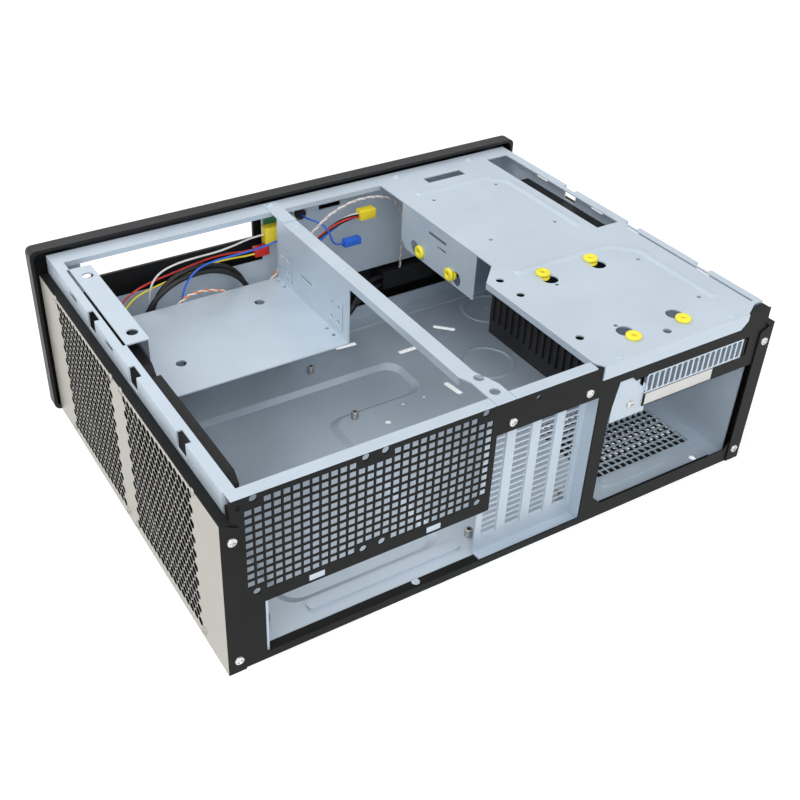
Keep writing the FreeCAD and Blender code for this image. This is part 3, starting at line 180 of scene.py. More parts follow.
def roundPiece(name, place, axis, radius, depth, sides=24):
    piece = addPiece(name, bpy.ops.mesh.primitive_cylinder_add, vertices=sides, radius=radius * millimetre,
                     depth=depth * millimetre, location=mm(*place), rotation=turnTo[axis])
    return settle(piece)


def turnedPiece(name, profile, steps=32):
    # a closed outline of radius and height, turned about Z
    piece = addPiece(name, bpy.ops.mesh.primitive_circle_add, vertices=len(profile), radius=millimetre)
    for vertex, (radius, height) in zip(piece.data.vertices, profile):
        vertex.co = mm(radius, 0, height)
    modify(piece, "SCREW", steps=steps, render_steps=steps)
    return smooth(cleanMesh(piece))


def spread(piece, count, step):
    return modify(piece, "ARRAY", count=count, use_relative_offset=False, use_constant_offset=True,
                  constant_offset_displace=mm(*step))


def gridCells(name, first, size, columns, columnStep, rows=1, rowStep=(0, 0, 0)):
    # box cutters, repeated in one or two directions
    low = [centre - span / 2 for centre, span in zip(first, size)]
    high = [centre + span / 2 for centre, span in zip(first, size)]
    return spread(spread(boxPiece(name, low, high), columns, columnStep), rows, rowStep)


def carve(piece, tool, operation="DIFFERENCE"):
    modify(piece, "BOOLEAN", operation=operation, solver="EXACT", object=tool)
    bpy.data.objects.remove(tool)
    return piece


def fillBox(piece, low, high):
    carve(piece, boxPiece("fill", low, high), "UNION")


def cutBox(piece, low, high):
    carve(piece, boxPiece("gap", low, high))


def drill(piece, axis, holes, depth=cutDepth):
    carve(piece, joinAll([roundPiece("hole", place, axis, wide / 2, depth) for place, wide in holes]))


def standing(place, axis="z", spin=0):
    # carries a piece made at the origin along Z to its place
    return (Matrix.Translation(mm(*place)) @ Euler(turnTo[axis]).to_matrix().to_4x4()
            @ Matrix.Rotation(math.radians(spin), 4, "Z"))


def placed(piece, name, matrix):
    copy = linkPiece(name, piece.data.copy())
    copy.data.transform(matrix)
    return copy


def setOut(master, name, matrices):
    copies = [placed(master, name, matrix) for matrix in matrices]
    bpy.data.objects.remove(master)
    return joinAll(copies, name)


def setTurned(name, shape, matrices):
    return setOut(turnedPiece("turned", shape["profile"], shape["steps"]), name, matrices)


def finishPiece(piece, slot, replaced=(), body=chassis, material=None):
    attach(piece, body)
    if replaced:
        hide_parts(*replaced)
    piece.data.materials.clear()
    piece.data.materials.append(material or materials[slot])
    return piece


# shader groups: each has one input, and gives a mask for the tint and a height for the bump

sheetPattern = {"marks": 60, "clouds": 22, "grain": 900, "markShare": 0.25, "cloudShare": 0.75,
                "markHeight": 0.4}
patchScale = 30
contrast = (0.3, 0.7)
noiseRoughness = 0.55
bumpDistance = 0.0002


def newNode(tree, kind, inputs, **settings):
    node = tree.nodes.new("ShaderNode" + kind)
    for key, value in settings.items():
        setattr(node, key, value)
    for key, value in inputs.items():
        if isinstance(value, bpy.types.NodeSocket):
            tree.links.new(value, node.inputs[key])
        else:
            node.inputs[key].default_value = value
    return node


def noiseNode(tree, vector, scale, detail):
    inputs = {"Vector": vector, "Scale": scale, "Detail": detail, "Roughness": noiseRoughness}
    return newNode(tree, "TexNoise", inputs).outputs[0]


def mathNode(tree, operation, first, second):
    return newNode(tree, "Math", {0: first, 1: second}, operation=operation).outputs[0]


def rangeNode(tree, value, low, high, newLow, newHigh):
    inputs = {"Value": value, "From Min": low, "From Max": high, "To Min": newLow, "To Max": newHigh}
    return newNode(tree, "MapRange", inputs).outputs["Result"]


def newGroup(name, given, kind):
    group = bpy.data.node_groups.new(name, "ShaderNodeTree")
    group.interface.new_socket(name=given, in_out="INPUT", socket_type=kind)
    for label in ("Mask", "Height"):
        group.interface.new_socket(name=label, in_out="OUTPUT", socket_type="NodeSocketFloat")
    place = newNode(group, "TexCoord", {}).outputs["Object"]
    return group, place, group.nodes.new("NodeGroupInput").outputs[given]


def closeGroup(group, mask, height):
    results = group.nodes.new("NodeGroupOutput").inputs
    group.links.new(mask, results["Mask"])
    group.links.new(height, results["Height"])
    return group


def makeRolledSheet(pattern):
    # rolling marks along the sheet, soft cloudy patches of zinc and a fine grain
    group, place, stretch = newGroup("rolledSheet", "Stretch", "NodeSocketVector")
    stretched = newNode(group, "VectorMath", {0: place, 1: stretch}, operation="MULTIPLY").outputs[0]
    marks = noiseNode(group, stretched, pattern["marks"], 4)
    clouds = noiseNode(group, place, pattern["clouds"], 3)
    fine = noiseNode(group, place, pattern["grain"], 2)
    mask = mathNode(group, "ADD", rangeNode(group, marks, *contrast, 0, pattern["markShare"]),
                    rangeNode(group, clouds, *contrast, 0, pattern["cloudShare"]))
    height = mathNode(group, "ADD", mathNode(group, "MULTIPLY", marks, pattern["markHeight"]), fine)
    return closeGroup(group, mask, height)


def makeFineGrain():
    # the even orange-peel of powder coat and the texture of moulded plastic
    group, place, grain = newGroup("fineGrain", "Grain", "NodeSocketFloat")
    fine = noiseNode(group, place, grain, 3)
    patches = noiseNode(group, place, patchScale, 3)
    return closeGroup(group, rangeNode(group, patches, *contrast, 0, 1), fine)


rolledSheet = makeRolledSheet(sheetPattern)
fineGrain = makeFineGrain()


def makeMaterial(name, dark, light, rough, grain, bump, metallic=0.0, specular=0.5, roughSpread=0.05,
                 group=fineGrain):
    material = bpy.data.materials.new(name)
    material.use_nodes = True
    tree = material.node_tree
    shader = tree.nodes["Principled BSDF"].inputs
    shader["Metallic"].default_value = metallic
    shader["Specular IOR Level"].default_value = specular
    pattern = newNode(tree, "Group", {0: grain}, node_tree=group).outputs
    tint = newNode(tree, "Mix", {"Factor": pattern["Mask"], "A": (*dark, 1), "B": (*light, 1)},
                   data_type="RGBA")
    tree.links.new(tint.outputs["Result"], shader["Base Color"])
    gloss = rangeNode(tree, pattern["Mask"], 0, 1, rough - roughSpread, rough + roughSpread)
    tree.links.new(gloss, shader["Roughness"])
    relief = newNode(tree, "Bump", {"Height": pattern["Height"], "Strength": bump, "Distance": bumpDistance})
    tree.links.new(relief.outputs["Normal"], shader["Normal"])
    return material


# name, dark and light tint, roughness, grain scale or stretch, bump, metallic, specular, spread of roughness
looks = {
    "zinc_steel": ("zincSheet", (0.45, 0.525, 0.60), (0.51, 0.59, 0.67), 0.43, (1, 14, 14), 0.12, 0.3, 0.5,
                   0.07, rolledSheet),
    "black_paint": ("blackCoat", (0.007, 0.0075, 0.0075), (0.011, 0.0115, 0.0115), 0.42, 1700, 0.2, 0, 0.1),
    "side_paint": ("sideCoat", (0.34, 0.327, 0.29), (0.39, 0.373, 0.332), 0.38, 1400, 0.12, 0.2),
    "bezel_plastic": ("bezelPlastic", (0.008, 0.008, 0.009), (0.013, 0.013, 0.014), 0.45, 1900, 0.3, 0, 0.25),
    "button_plastic": ("buttonPlastic", (0.014, 0.014, 0.016), (0.022, 0.022, 0.024), 0.22, 900, 0.05),
    "fan_plastic": ("fanPlastic", (0.007, 0.007, 0.008), (0.012, 0.012, 0.013), 0.5, 1600, 0.2, 0, 0.2),
    "board_green": ("boardMask", (0.012, 0.12, 0.04), (0.02, 0.17, 0.06), 0.3, 600, 0.08),
    "foot_rubber": ("footRubber", (0.012, 0.012, 0.012), (0.022, 0.022, 0.022), 0.75, 1300, 0.35),
    "yellow_rubber": ("grommetRubber", (0.76, 0.66, 0.02), (0.86, 0.76, 0.04), 0.42, 1100, 0.12),
    "nickel": ("platedNickel", (0.42, 0.39, 0.36), (0.54, 0.51, 0.47), 0.28, 2200, 0.08, 0.9),
    "black_wire": ("blackJacket", (0.007, 0.007, 0.008), (0.014, 0.014, 0.015), 0.4, 1800, 0.2, 0, 0.3),
    "red_wire": ("redInsulation", (0.50, 0.012, 0.01), (0.62, 0.02, 0.016), 0.35, 1500, 0.1),
    "yellow_wire": ("yellowInsulation", (0.76, 0.60, 0.02), (0.86, 0.70, 0.04), 0.38, 1500, 0.1),
    "white_wire": ("whiteInsulation", (0.66, 0.65, 0.63), (0.75, 0.74, 0.72), 0.4, 1500, 0.1),
    "orange_wire": ("orangeInsulation", (0.70, 0.17, 0.012), (0.80, 0.23, 0.02), 0.4, 1500, 0.1),
    "blue_wire": ("blueInsulation", (0.010, 0.09, 0.52), (0.018, 0.13, 0.64), 0.35, 1500, 0.1),
    "plug_plastic": ("plugPlastic", (0.008, 0.008, 0.008), (0.015, 0.015, 0.015), 0.5, 1500, 0.2, 0, 0.3),
}
materials = {slot: makeMaterial(*look) for slot, look in looks.items()}
roseInsulation = makeMaterial("roseInsulation", (0.46, 0.36, 0.36), (0.56, 0.45, 0.44), 0.4, 1500, 0.1)
screwSteel = makeMaterial("screwSteel", (0.55, 0.55, 0.54), (0.68, 0.68, 0.66), 0.25, 2400, 0.05, 0.95)
labelPaper = makeMaterial("labelPaper", (0.56, 0.56, 0.55), (0.62, 0.62, 0.61), 0.6, 1200, 0.05, 0, 0.2)
slotOf = {part["node"]: part["material_slot"] for part in frame["record"]["subparts"]}
for name, node in nodes.items():
    node.data.materials.clear()
    node.data.materials.append(materials[slotOf[name]])
print("materials ready,", len(bpy.data.materials))


# camera at the photograph's place, light and floor

cameraView = {"place": (0.37976, 0.57115, 0.53957), "azimuth": 148.784, "elevation": 35.878, "roll": 1.183,
              "lens": 49.43, "sensor": 36, "shiftX": 0.0607, "shiftY": -0.0088}


def setCamera(view):
    turn, tilt, roll = (math.radians(view[key]) for key in ("azimuth", "elevation", "roll"))
    forward = Vector((-math.sin(turn) * math.cos(tilt), math.cos(turn) * math.cos(tilt), -math.sin(tilt)))
    level = Vector((math.cos(turn), math.sin(turn), 0))
    right = level * math.cos(roll) + level.cross(forward) * math.sin(roll)
    up = right.cross(forward)
    bpy.ops.object.camera_add()
    camera = bpy.context.object
    facing = Matrix((right, up, -forward)).transposed().to_4x4()
    camera.matrix_world = Matrix.Translation(view["place"]) @ facing
    camera.data.lens = view["lens"]
    camera.data.sensor_width = view["sensor"]
    camera.data.shift_x = view["shiftX"]
    camera.data.shift_y = view["shiftY"]
    bpy.context.scene.camera = camera


setCamera(cameraView)

white = (1, 1, 1, 1)
# underGlow is painted light: the floor under the case glows bright although it lies in the case's shadow
studio = {"worldLight": 0.45, "target": (0, 0, 0.07), "floorTone": (0.86, 0.86, 0.86), "floorSize": 12,
          "floorGlow": 0.3, "underGlow": 0.65, "underEdge": (-0.02, 0.01), "farGlow": 0.7,
          "farSpan": (0.5, 2.5)}
lamps = {"key": ((1.1, -0.3, 1.5), 1.2, 14.0), "fill": ((-1.2, 1.3, 0.9), 1.2, 6.0),
         "front": ((0.2, -1.6, 1.3), 1.4, 3.0), "rear": ((0.75, 1.35, 1.5), 2.0, 31.0)}


def softLamp(name, place, size, power):
    lamp = addPiece(name, bpy.ops.object.light_add, type="AREA", location=place)
    lamp.data.size = size
    lamp.data.energy = power
    lamp.rotation_euler = (Vector(studio["target"]) - Vector(place)).to_track_quat("-Z", "Y").to_euler()


def seenRays(tree):
    rays = newNode(tree, "LightPath", {}).outputs
    seen = mathNode(tree, "MAXIMUM", rays["Is Camera Ray"], rays["Is Glossy Ray"])
    return mathNode(tree, "MAXIMUM", seen, rays["Is Transmission Ray"])


def floorGlow(tree):
    # painted light: the floor glows paler under the case, where its shadow falls and only holes show it, and
    # far away, where the lamps do not reach
    place = newNode(tree, "TexCoord", {}).outputs["Object"]
    apart = newNode(tree, "SeparateXYZ", {0: place}).outputs
    beyond = [mathNode(tree, "SUBTRACT", mathNode(tree, "ABSOLUTE", apart[axis], 0), edge)
              for axis, edge in zip("XY", cadBox[1])]
    away = mathNode(tree, "MAXIMUM", *beyond)
    # painted light under the case, fading to the plain floor glow at its edges
    near = rangeNode(tree, away, *studio["underEdge"], studio["underGlow"], studio["floorGlow"])
    far = rangeNode(tree, away, *studio["farSpan"], 0, studio["farGlow"])
    return mathNode(tree, "MULTIPLY", seenRays(tree), mathNode(tree, "ADD", near, far))


def mixShaders(tree, factor, first, second, output):
    mix = newNode(tree, "MixShader", {0: factor, 1: first.outputs[0], 2: second.outputs[0]})
    tree.links.new(mix.outputs[0], tree.nodes[output].inputs["Surface"])


def setStudio():
    for name, lamp in lamps.items():
        softLamp(name + "Lamp", *lamp)
    world = bpy.data.worlds.new("studioWorld")
    bpy.context.scene.world = world
    world.use_nodes = True
    tree = world.node_tree
    lit = tree.nodes["Background"]
    lit.inputs["Color"].default_value = white
    lit.inputs["Strength"].default_value = studio["worldLight"]
    mixShaders(tree, seenRays(tree), lit, newNode(tree, "Background", {"Color": white}), "World Output")

    floor = addPiece("studioFloor", bpy.ops.mesh.primitive_plane_add, size=studio["floorSize"])
    material = bpy.data.materials.new("studioFloor")
    material.use_nodes = True
    tree = material.node_tree
    tree.nodes.remove(tree.nodes["Principled BSDF"])
    matte = newNode(tree, "BsdfDiffuse", {"Color": (*studio["floorTone"], 1)})
    glow = newNode(tree, "Emission", {"Color": white, "Strength": floorGlow(tree)})
    both = newNode(tree, "AddShader", {0: matte.outputs[0], 1: glow.outputs[0]})
    # clear from below, so that the underside can be viewed
    below = newNode(tree, "NewGeometry", {}).outputs["Backfacing"]
    mixShaders(tree, below, both, newNode(tree, "BsdfTransparent", {}), "Material Output")
    floor.data.materials.append(material)
    bpy.context.scene.view_settings.view_transform = "Standard"


setStudio()
print("camera and studio set")


# front leads: points as x, distance behind the front wall and height above the pan's underside

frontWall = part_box("front_board")[0].y
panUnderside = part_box("right_wall")[0].z
leadWidths = {"wire": 1.6, "pair": 2.4, "cable": 4.2, "sleeve": 4.5}
leads = {
    "blackLead1": {
        "node": "lead_black_1", "kind": "cable", "slot": "black_wire", "length": 0.360,
        "plugs": ["plug_black_1"], "points": [
        (-81, 4, 33.5), (-70, 4, 33.5), (-56, 7.5, 26), (-41, 11, 13), (-24, 12.3, 5.2),
        (-4, 12.8, 4.4), (15, 12.4, 7), (31, 12, 17), (43, 12, 34), (50, 12.5, 56), (55, 13.2, 78),
        (66, 14.2, 95), (84, 15.2, 103.5), (104, 15.5, 105), (122, 15.5, 98.5), (134, 15.5, 85),
        (139.5, 15.5, 66), (141, 15.5, 44), (141.5, 15.5, 26), (141.5, 15.5, 11)]},
    "blackLead2": {
        "node": "lead_black_2", "kind": "cable", "slot": "black_wire", "length": 0.373,
        "plugs": ["plug_black_2"], "points": [
        (-81, 4, 41.5), (-70, 4, 41.5), (-56, 9.5, 35.5), (-43, 16, 23.5), (-29, 21.5, 12),
        (-12, 24.3, 5), (8, 24.5, 3.6), (28, 23.5, 8), (41, 21.5, 22), (48, 20, 41), (51, 20, 62),
        (57, 20, 81), (70, 20, 95), (88, 20, 102), (107, 20, 102), (125, 20, 96), (139.5, 20, 84),
        (148, 20, 66), (151, 20, 46), (151.5, 20, 27), (151.5, 20, 10)]},
    "redLead": {
        "node": "lead_red", "kind": "wire", "slot": "red_wire", "length": 0.184,
        "plugs": ["red_plug"], "points": [
        (195, 33.5, 47), (195, 26.5, 47), (189, 20, 51), (179.5, 15, 60), (170.5, 11.5, 71),
        (161, 9, 83), (149, 7, 92), (133, 6.5, 96.5), (114, 6.5, 99.5), (95, 6.3, 102.5),
        (77, 5.5, 104), (60, 3.6, 102), (50, 2.2, 99.6), (42, 2.2, 99.6)]},
    "yellowLead": {
        "node": "lead_yellow", "kind": "wire", "slot": "yellow_wire", "length": 0.179,
        "plugs": [], "points": [
        (191.5, 33.5, 43), (191.5, 28, 43), (186, 22.6, 47), (176.5, 18, 56.5), (168, 14.5, 67),
        (159, 11.6, 79.5), (148, 9.6, 88.5), (133, 9, 92.6), (114, 9.3, 96.3), (95, 9, 99.2),
        (77, 8.2, 100.6), (60, 6, 98.6), (50, 4.4, 96.6), (42, 4.4, 96.6)]},
    "whiteLead": {
        "node": "lead_white", "kind": "wire", "slot": "white_wire", "length": 0.191,
        "plugs": ["plug_white", "board_plug"], "points": [
        (34, 5.5, 112.5), (45, 5.5, 112.5), (60, 7.6, 110.8), (76, 9, 109.5), (94, 10, 110),
        (111, 10.5, 109.5), (126, 11, 106), (134.5, 11.5, 97), (136.5, 11, 82), (135.5, 10, 64),
        (134.5, 9, 44), (134, 8.5, 26), (134, 8.5, 11)]},
    "twistLead": {
        "node": "lead_twist", "kind": "pair", "slot": "orange_wire", "length": 0.209,
        "plugs": ["plug_twist"], "points": [
        (10, 1.6, 109), (10, 8.6, 109), (15.5, 15.2, 102), (27, 21, 88.5), (40, 24.6, 79),
        (56, 25.3, 76), (72, 25.4, 79.5), (86, 25.4, 86.5), (102, 25.4, 89.5), (116, 25.4, 86),
        (125, 25.4, 74), (128, 25.4, 57), (128.5, 25.4, 40), (128.7, 25.4, 25), (128.7, 25.4, 10)]},
    "blueLead": {
        "node": "lead_blue", "kind": "wire", "slot": "blue_wire", "length": 0.199,
        "plugs": ["plug_blue"], "points": [
        (13, 1.6, 112), (13, 8.6, 112), (18.5, 14.6, 111), (33, 18, 110), (51, 19.5, 109),
        (70, 20, 109.3), (88, 20.8, 109.2), (101, 22.8, 106.8), (110, 23.3, 98), (114.5, 23.1, 85),
        (116, 23.1, 68), (116.5, 23.1, 50), (116.8, 23.1, 29), (116.8, 23.1, 10)]},
    "sleeveLead": {
        "node": "lead_sleeve", "kind": "sleeve", "slot": "black_wire", "length": 0.143,
        "plugs": ["sleeve_plug", "plug_sleeve"], "points": [
        (21.5, 18, 10), (21.5, 18, 23), (21.3, 18, 38), (19.5, 18, 55.5), (14.5, 18.5, 73), (6, 19, 89),
        (-6, 20, 102), (-20, 21, 112), (-34, 21.5, 118), (-45, 21.5, 118)]},
    "switchLead": {
        "node": "lead_switch", "kind": "wire", "slot": "blue_wire", "length": 0.050,
        "plugs": ["switch_plug"], "points": [
        (-1.2, 5.5, 121.4), (-1.2, 12, 121.4), (-5.5, 18.5, 121.2), (-12, 24, 117.5),
        (-15.5, 27, 110.5), (-16.3, 27.8, 105.5), (-18.9, 28, 101.4), (-22.9, 28, 99.4),
        (-27.3, 28, 99.4)]},
    "archLead": {
        "node": "lead_arch", "kind": "pair", "slot": "orange_wire", "length": 0.286,
        "plugs": ["plug_arch"], "points": [
        (-100, 4.5, 46), (-100, 4.5, 63), (-99, 8.5, 82), (-96, 12.5, 99), (-88, 17, 115),
        (-74, 20.5, 127), (-55, 22, 132.2), (-36, 23, 132), (-18, 24, 127), (-3, 24.6, 117),
        (11, 24.6, 104), (22, 24, 88), (29, 21, 69), (34, 15, 52), (37, 8.5, 38), (38, 5, 24),
        (38, 5, 11)]},
}
pairColours = {"twistLead": (materials["orange_wire"], materials["white_wire"]),
               "archLead": (roseInsulation, materials["white_wire"])}
pair = {"turnLength": 0.0095, "pointStep": 0.0008, "strandWidth": 0.00118, "strandOffset": 0.0006,
        "core": None}
bundle = {"turnLength": 0.09, "pointStep": 0.0025, "strandWidth": 0.00146, "strandOffset": 0.0015,
          "core": "black_wire"}
bundleSlots = ("red_wire", "black_wire", "blue_wire", "black_wire", "white_wire", "black_wire")
bundleColours = [materials[slot] for slot in bundleSlots]
curves = {"order": 3, "leadSteps": 10, "leadBevel": 3, "strandSteps": 1, "strandBevel": 2, "fineSteps": 40}
tiny = 1e-9


def routePlaces(points):
    return [Vector((x * millimetre, frontWall + out * millimetre, panUnderside + up * millimetre))
            for x, out, up in points]


def splineCurve(name, places, width, steps, bevel):
    curve = bpy.data.curves.new(name, "CURVE")
    curve.dimensions = "3D"
    spline = curve.splines.new("NURBS")
    spline.points.add(len(places) - 1)
    for control, place in zip(spline.points, places):
        control.co = (*place, 1)
    spline.order_u = curves["order"]
    spline.use_endpoint_u = True
    spline.resolution_u = steps
    curve.resolution_u = steps
    curve.bevel_depth = width / 2
    curve.bevel_resolution = bevel
    curve.use_fill_caps = True
    return linkPiece(name, curve)


def centreLine(places):
    bare = splineCurve("bareRoute", places, 0, curves["fineSteps"], 0)
    mesh = bpy.data.meshes.new_from_object(bare)
    line = [vertex.co.copy() for vertex in mesh.vertices]
    bpy.data.objects.remove(bare)
    return line


def evenPoints(line, step):
    # points at even distances along a fine line
    points = [line[0].copy()]
    carried = 0.0
    for start, end in zip(line, line[1:]):
        span = (end - start).length
        while span > 0 and carried + step <= span:
            carried += step
            points.append(start.lerp(end, carried / span))
        carried -= span
    points.append(line[-1].copy())
    return points


def meshStrand(name, points, width):
    pick(splineCurve(name, points, width, curves["strandSteps"], curves["strandBevel"]))
    bpy.ops.object.convert(target="MESH")
    return bpy.context.object


def strand(name, points, phase, wind):
    # one conductor wound round the line
    side = Vector((0, 0, 1)).cross(points[1] - points[0])
    if side.length < tiny:
        side = Vector((1, 0, 0))
    side.normalize()
    wound = []
    for index, point in enumerate(points):
        ahead = points[min(index + 1, len(points) - 1)] - points[max(index - 1, 0)]
        ahead.normalize()
        side = (side - ahead * side.dot(ahead)).normalized()
        turn = 2 * math.pi * index * wind["pointStep"] / wind["turnLength"] + phase
        away = side * math.cos(turn) + ahead.cross(side) * math.sin(turn)
        wound.append(point + away * wind["strandOffset"])
    return meshStrand(name, wound, wind["strandWidth"])


def layStrands(name, places, colours, wind):
    points = evenPoints(centreLine(places), wind["pointStep"])
    strands = []
    for index, colour in enumerate(colours):
        piece = strand(f"{name}Strand{index}", points, 2 * math.pi * index / len(colours), wind)
        piece.data.materials.append(colour)
        strands.append(piece)
    if wind["core"]:
        core = meshStrand(name + "Core", points, wind["strandWidth"])
        core.data.materials.append(materials[wind["core"]])
        strands.append(core)
    whole = joinAll(strands, name)
    bpy.ops.object.shade_smooth()
    return whole, points


# plugs: softened housings with their rows of sockets

plugFaces = {"sleeve_plug": ("-x", 2, 3), "switch_plug": ("-x", 1, 2), "red_plug": ("-x", 1, 3),
             "board_plug": ("z", 2, 4)}
plainFace = ("z", 1, 2)
plugs = {"soften": 0.4, "socket": 1.3, "pitch": 2.3, "deep": 2.0}


def makePlug(node):
    piece = softenEdges(copyNode(node, node.title().replace("_", "")), plugs["soften"])
    low, high = (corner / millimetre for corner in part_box(node))
    face, rows, columns = plugFaces.get(node, plainFace)
    normal = "xyz".index(face[-1])
    outer = (low if face[0] == "-" else high)[normal]
    first, second = (axis for axis in range(3) if axis != normal)
    if high[first] - low[first] < high[second] - low[second]:
        first, second = second, first
    start = (low + high) / 2
    start[normal] = outer
    start[first] -= (columns - 1) * plugs["pitch"] / 2
    start[second] -= (rows - 1) * plugs["pitch"] / 2
    size, along, across = Vector([plugs["socket"]] * 3), Vector((0, 0, 0)), Vector((0, 0, 0))
    size[normal] = 2 * plugs["deep"]
    along[first] = plugs["pitch"]
    across[second] = plugs["pitch"]
    carve(piece, gridCells("sockets", start, size, columns, along, rows, across))
    return finishPiece(piece, slotOf[node], [node])


plugPieces = {node: makePlug(node) for lead in leads.values() for node in lead["plugs"]}
print("plugs made,", len(plugPieces))


def layLead(name, lead):
    places = routePlaces(lead["points"])
    width = leadWidths[lead["kind"]] * millimetre
    path = None
    if lead["kind"] == "pair":
        piece, path = layStrands(name, places, pairColours[name], pair)
    elif lead["kind"] == "sleeve":
        piece, path = layStrands(name, places, bundleColours, bundle)
    else:
        piece = splineCurve(name, places, width, curves["leadSteps"], curves["leadBevel"])
        piece.data.materials.append(materials[lead["slot"]])
    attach(piece, chassis)
    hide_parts(lead["node"])


for name, lead in leads.items():
    layLead(name, lead)
print("leads laid,", len(leads))


# true-pitch grilles: a copy of the CAD sheet is filled where its grille is coarse and cut again

def dropCells(cells, places, reach):
    # takes out the cutters that have a corner within reach of a place
    pick(cells)
    bpy.ops.object.mode_set(mode="EDIT")
    bpy.ops.mesh.select_all(action="DESELECT")
    bpy.ops.object.mode_set(mode="OBJECT")
    for vertex in cells.data.vertices:
        vertex.select = any(all(target is None or abs(value / millimetre - target) < reach
                                for value, target in zip(vertex.co, place)) for place in places)
    bpy.ops.object.mode_set(mode="EDIT")
    bpy.ops.mesh.select_linked()
    bpy.ops.mesh.delete(type="VERT")
    bpy.ops.object.mode_set(mode="OBJECT")


lift = panUnderside / millimetre
floorTop = lift + sheet
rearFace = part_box("rear_panel")[1].y / millimetre
rearGrille = {"first": (32.3, 61.9), "pitch": 6.05, "hole": 4.7, "columns": 28, "rows": 12,
              "fill": ((27.6, 57.3), (200.4, 133.2)), "fanCentres": (156.6, 71.8), "fanHeight": 96.5,
              "fanSquare": 71.5, "fanHole": 5.0, "clear": 3.9}
slotStrip = {"area": ((-187.3, 99.4), (-98, 115.1)), "deep": (1.0, 0.15), "first": -184, "pitch": 5.175,
             "count": 17, "slot": (3.9, 13.4), "slotRound": 0.9, "middle": 107.2,
             "fill": ((-192, 100.5), (-98, 115)), "notchLow": 103.5, "notchRise": 11}


def rearCorners(area, back, front):
    # corners of a box on the rear sheet, from its corners as x and height over the pan's underside
    (left, low), (right, high) = area
    return (left, rearFace + back, lift + low), (right, rearFace + front, lift + high)


def notchFill(edge, low, rise):
    # a wedge along the slanted corner over the bracket
    wedge = boxPiece("fill", (edge, rearFace - sheet, low), (edge + rise, rearFace, low + rise))
    for vertex in wedge.data.vertices:
        if vertex.co.z < (low + rise / 2) * millimetre:
            vertex.co.x = edge * millimetre
    return cleanMesh(wedge)


def makeRearPanel(grille, strip):
    piece = copyNode("rear_panel", "rearPanel")
    fillBox(piece, *rearCorners(grille["fill"], -sheet, 0))
    x, z = grille["first"]
    middle = rearFace - sheet / 2
    cells = gridCells("cells", (x, middle, lift + z), (grille["hole"], cellDepth, grille["hole"]),
                      grille["columns"], (grille["pitch"], 0, 0), grille["rows"], (0, 0, grille["pitch"]))
    half = grille["fanSquare"] / 2
    fanHoles = [(centre + sideX * half, lift + grille["fanHeight"] + sideZ * half)
                for centre in grille["fanCentres"] for sideX in (-1, 1) for sideZ in (-1, 1)]
    dropCells(cells, [(x, None, z) for x, z in fanHoles], grille["clear"])
    carve(piece, cells)
    drill(piece, "y", [((x, middle, z), grille["fanHole"]) for x, z in fanHoles])
    fillBox(piece, *rearCorners(strip["fill"], -sheet, 0))
    stripEnd = strip["fill"][1][0]
    carve(piece, notchFill(stripEnd, lift + strip["notchLow"], strip["notchRise"]), "UNION")
    cutBox(piece, *rearCorners(strip["area"], -3 * sheet, sheet))
    finishPiece(piece, "black_paint", ["rear_panel"])


def makeSlotStrip(strip):
    # the strip of slots over the power supply, let into the black sheet: its pale zinc faces are painted
    # highlight, standing for light catching the slats' bare cut edges
    back, front = strip["deep"]
    piece = boxPiece("slotStrip", *rearCorners(strip["area"], -back, -front))
    wide, tall = strip["slot"]
    slots = gridCells("slots", (strip["first"], rearFace, lift + strip["middle"]), (wide, cutDepth, tall),
                      strip["count"], (strip["pitch"], 0, 0))
    carve(piece, softenEdges(slots, strip["slotRound"], bluntAngle))
    # the pale zinc colour of the slats is a painted highlight
    finishPiece(piece, "zinc_steel")


makeRearPanel(rearGrille, slotStrip)
makeSlotStrip(slotStrip)
print("rear panel cut")

sideGrille = {"flat": 5.95, "pitch": 6.75, "columns": 16, "rows": 19, "height": 63.2,
              "fill": (-104, 124, 14, 112), "middles": {"right_panel": (-56, 72), "left_panel": (-56,)},
              "cornerReach": (55.5, 57), "clear": 1.5}
outward = {"right_panel": 1, "left_panel": -1}
faceLimits = {"turn": 0.9, "gap": 0.00005}


def hexCells(middleY, middleZ, wallX, grille):
    # two interleaved blocks of hexagons with their points up and down
    pitch = grille["pitch"]
    rise = pitch * math.sqrt(3)
    radius = grille["flat"] / math.sqrt(3)
    blocks = []
    for shift, rows in ((0, (grille["rows"] + 1) // 2), (1, grille["rows"] // 2)):
        columns = grille["columns"] - shift
        cell = roundPiece("cell", (0, 0, 0), "x", radius, cutDepth, sides=6)
        if cell.dimensions.z < cell.dimensions.y:
            cell.data.transform(Matrix.Rotation(math.pi / 6, 4, "X"))
        cell.data.transform(Matrix.Translation(mm(wallX, middleY - (columns - 1) * pitch / 2,
                                                  middleZ - (rows - 1) * rise / 2)))
        blocks.append(spread(spread(cell, columns, (0, pitch, 0)), rows, (0, 0, rise)))
    return joinAll(blocks)


def cornerPlaces(middle, grille):
    reachY, reachZ = grille["cornerReach"]
    return [(None, middle + sideY * reachY, lift + grille["height"] + sideZ * reachZ)
            for sideY in (-1, 1) for sideZ in (-1, 1)]


def outerFace(node):
    low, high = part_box(node)
    return (high.x if outward[node] == 1 else low.x) / millimetre


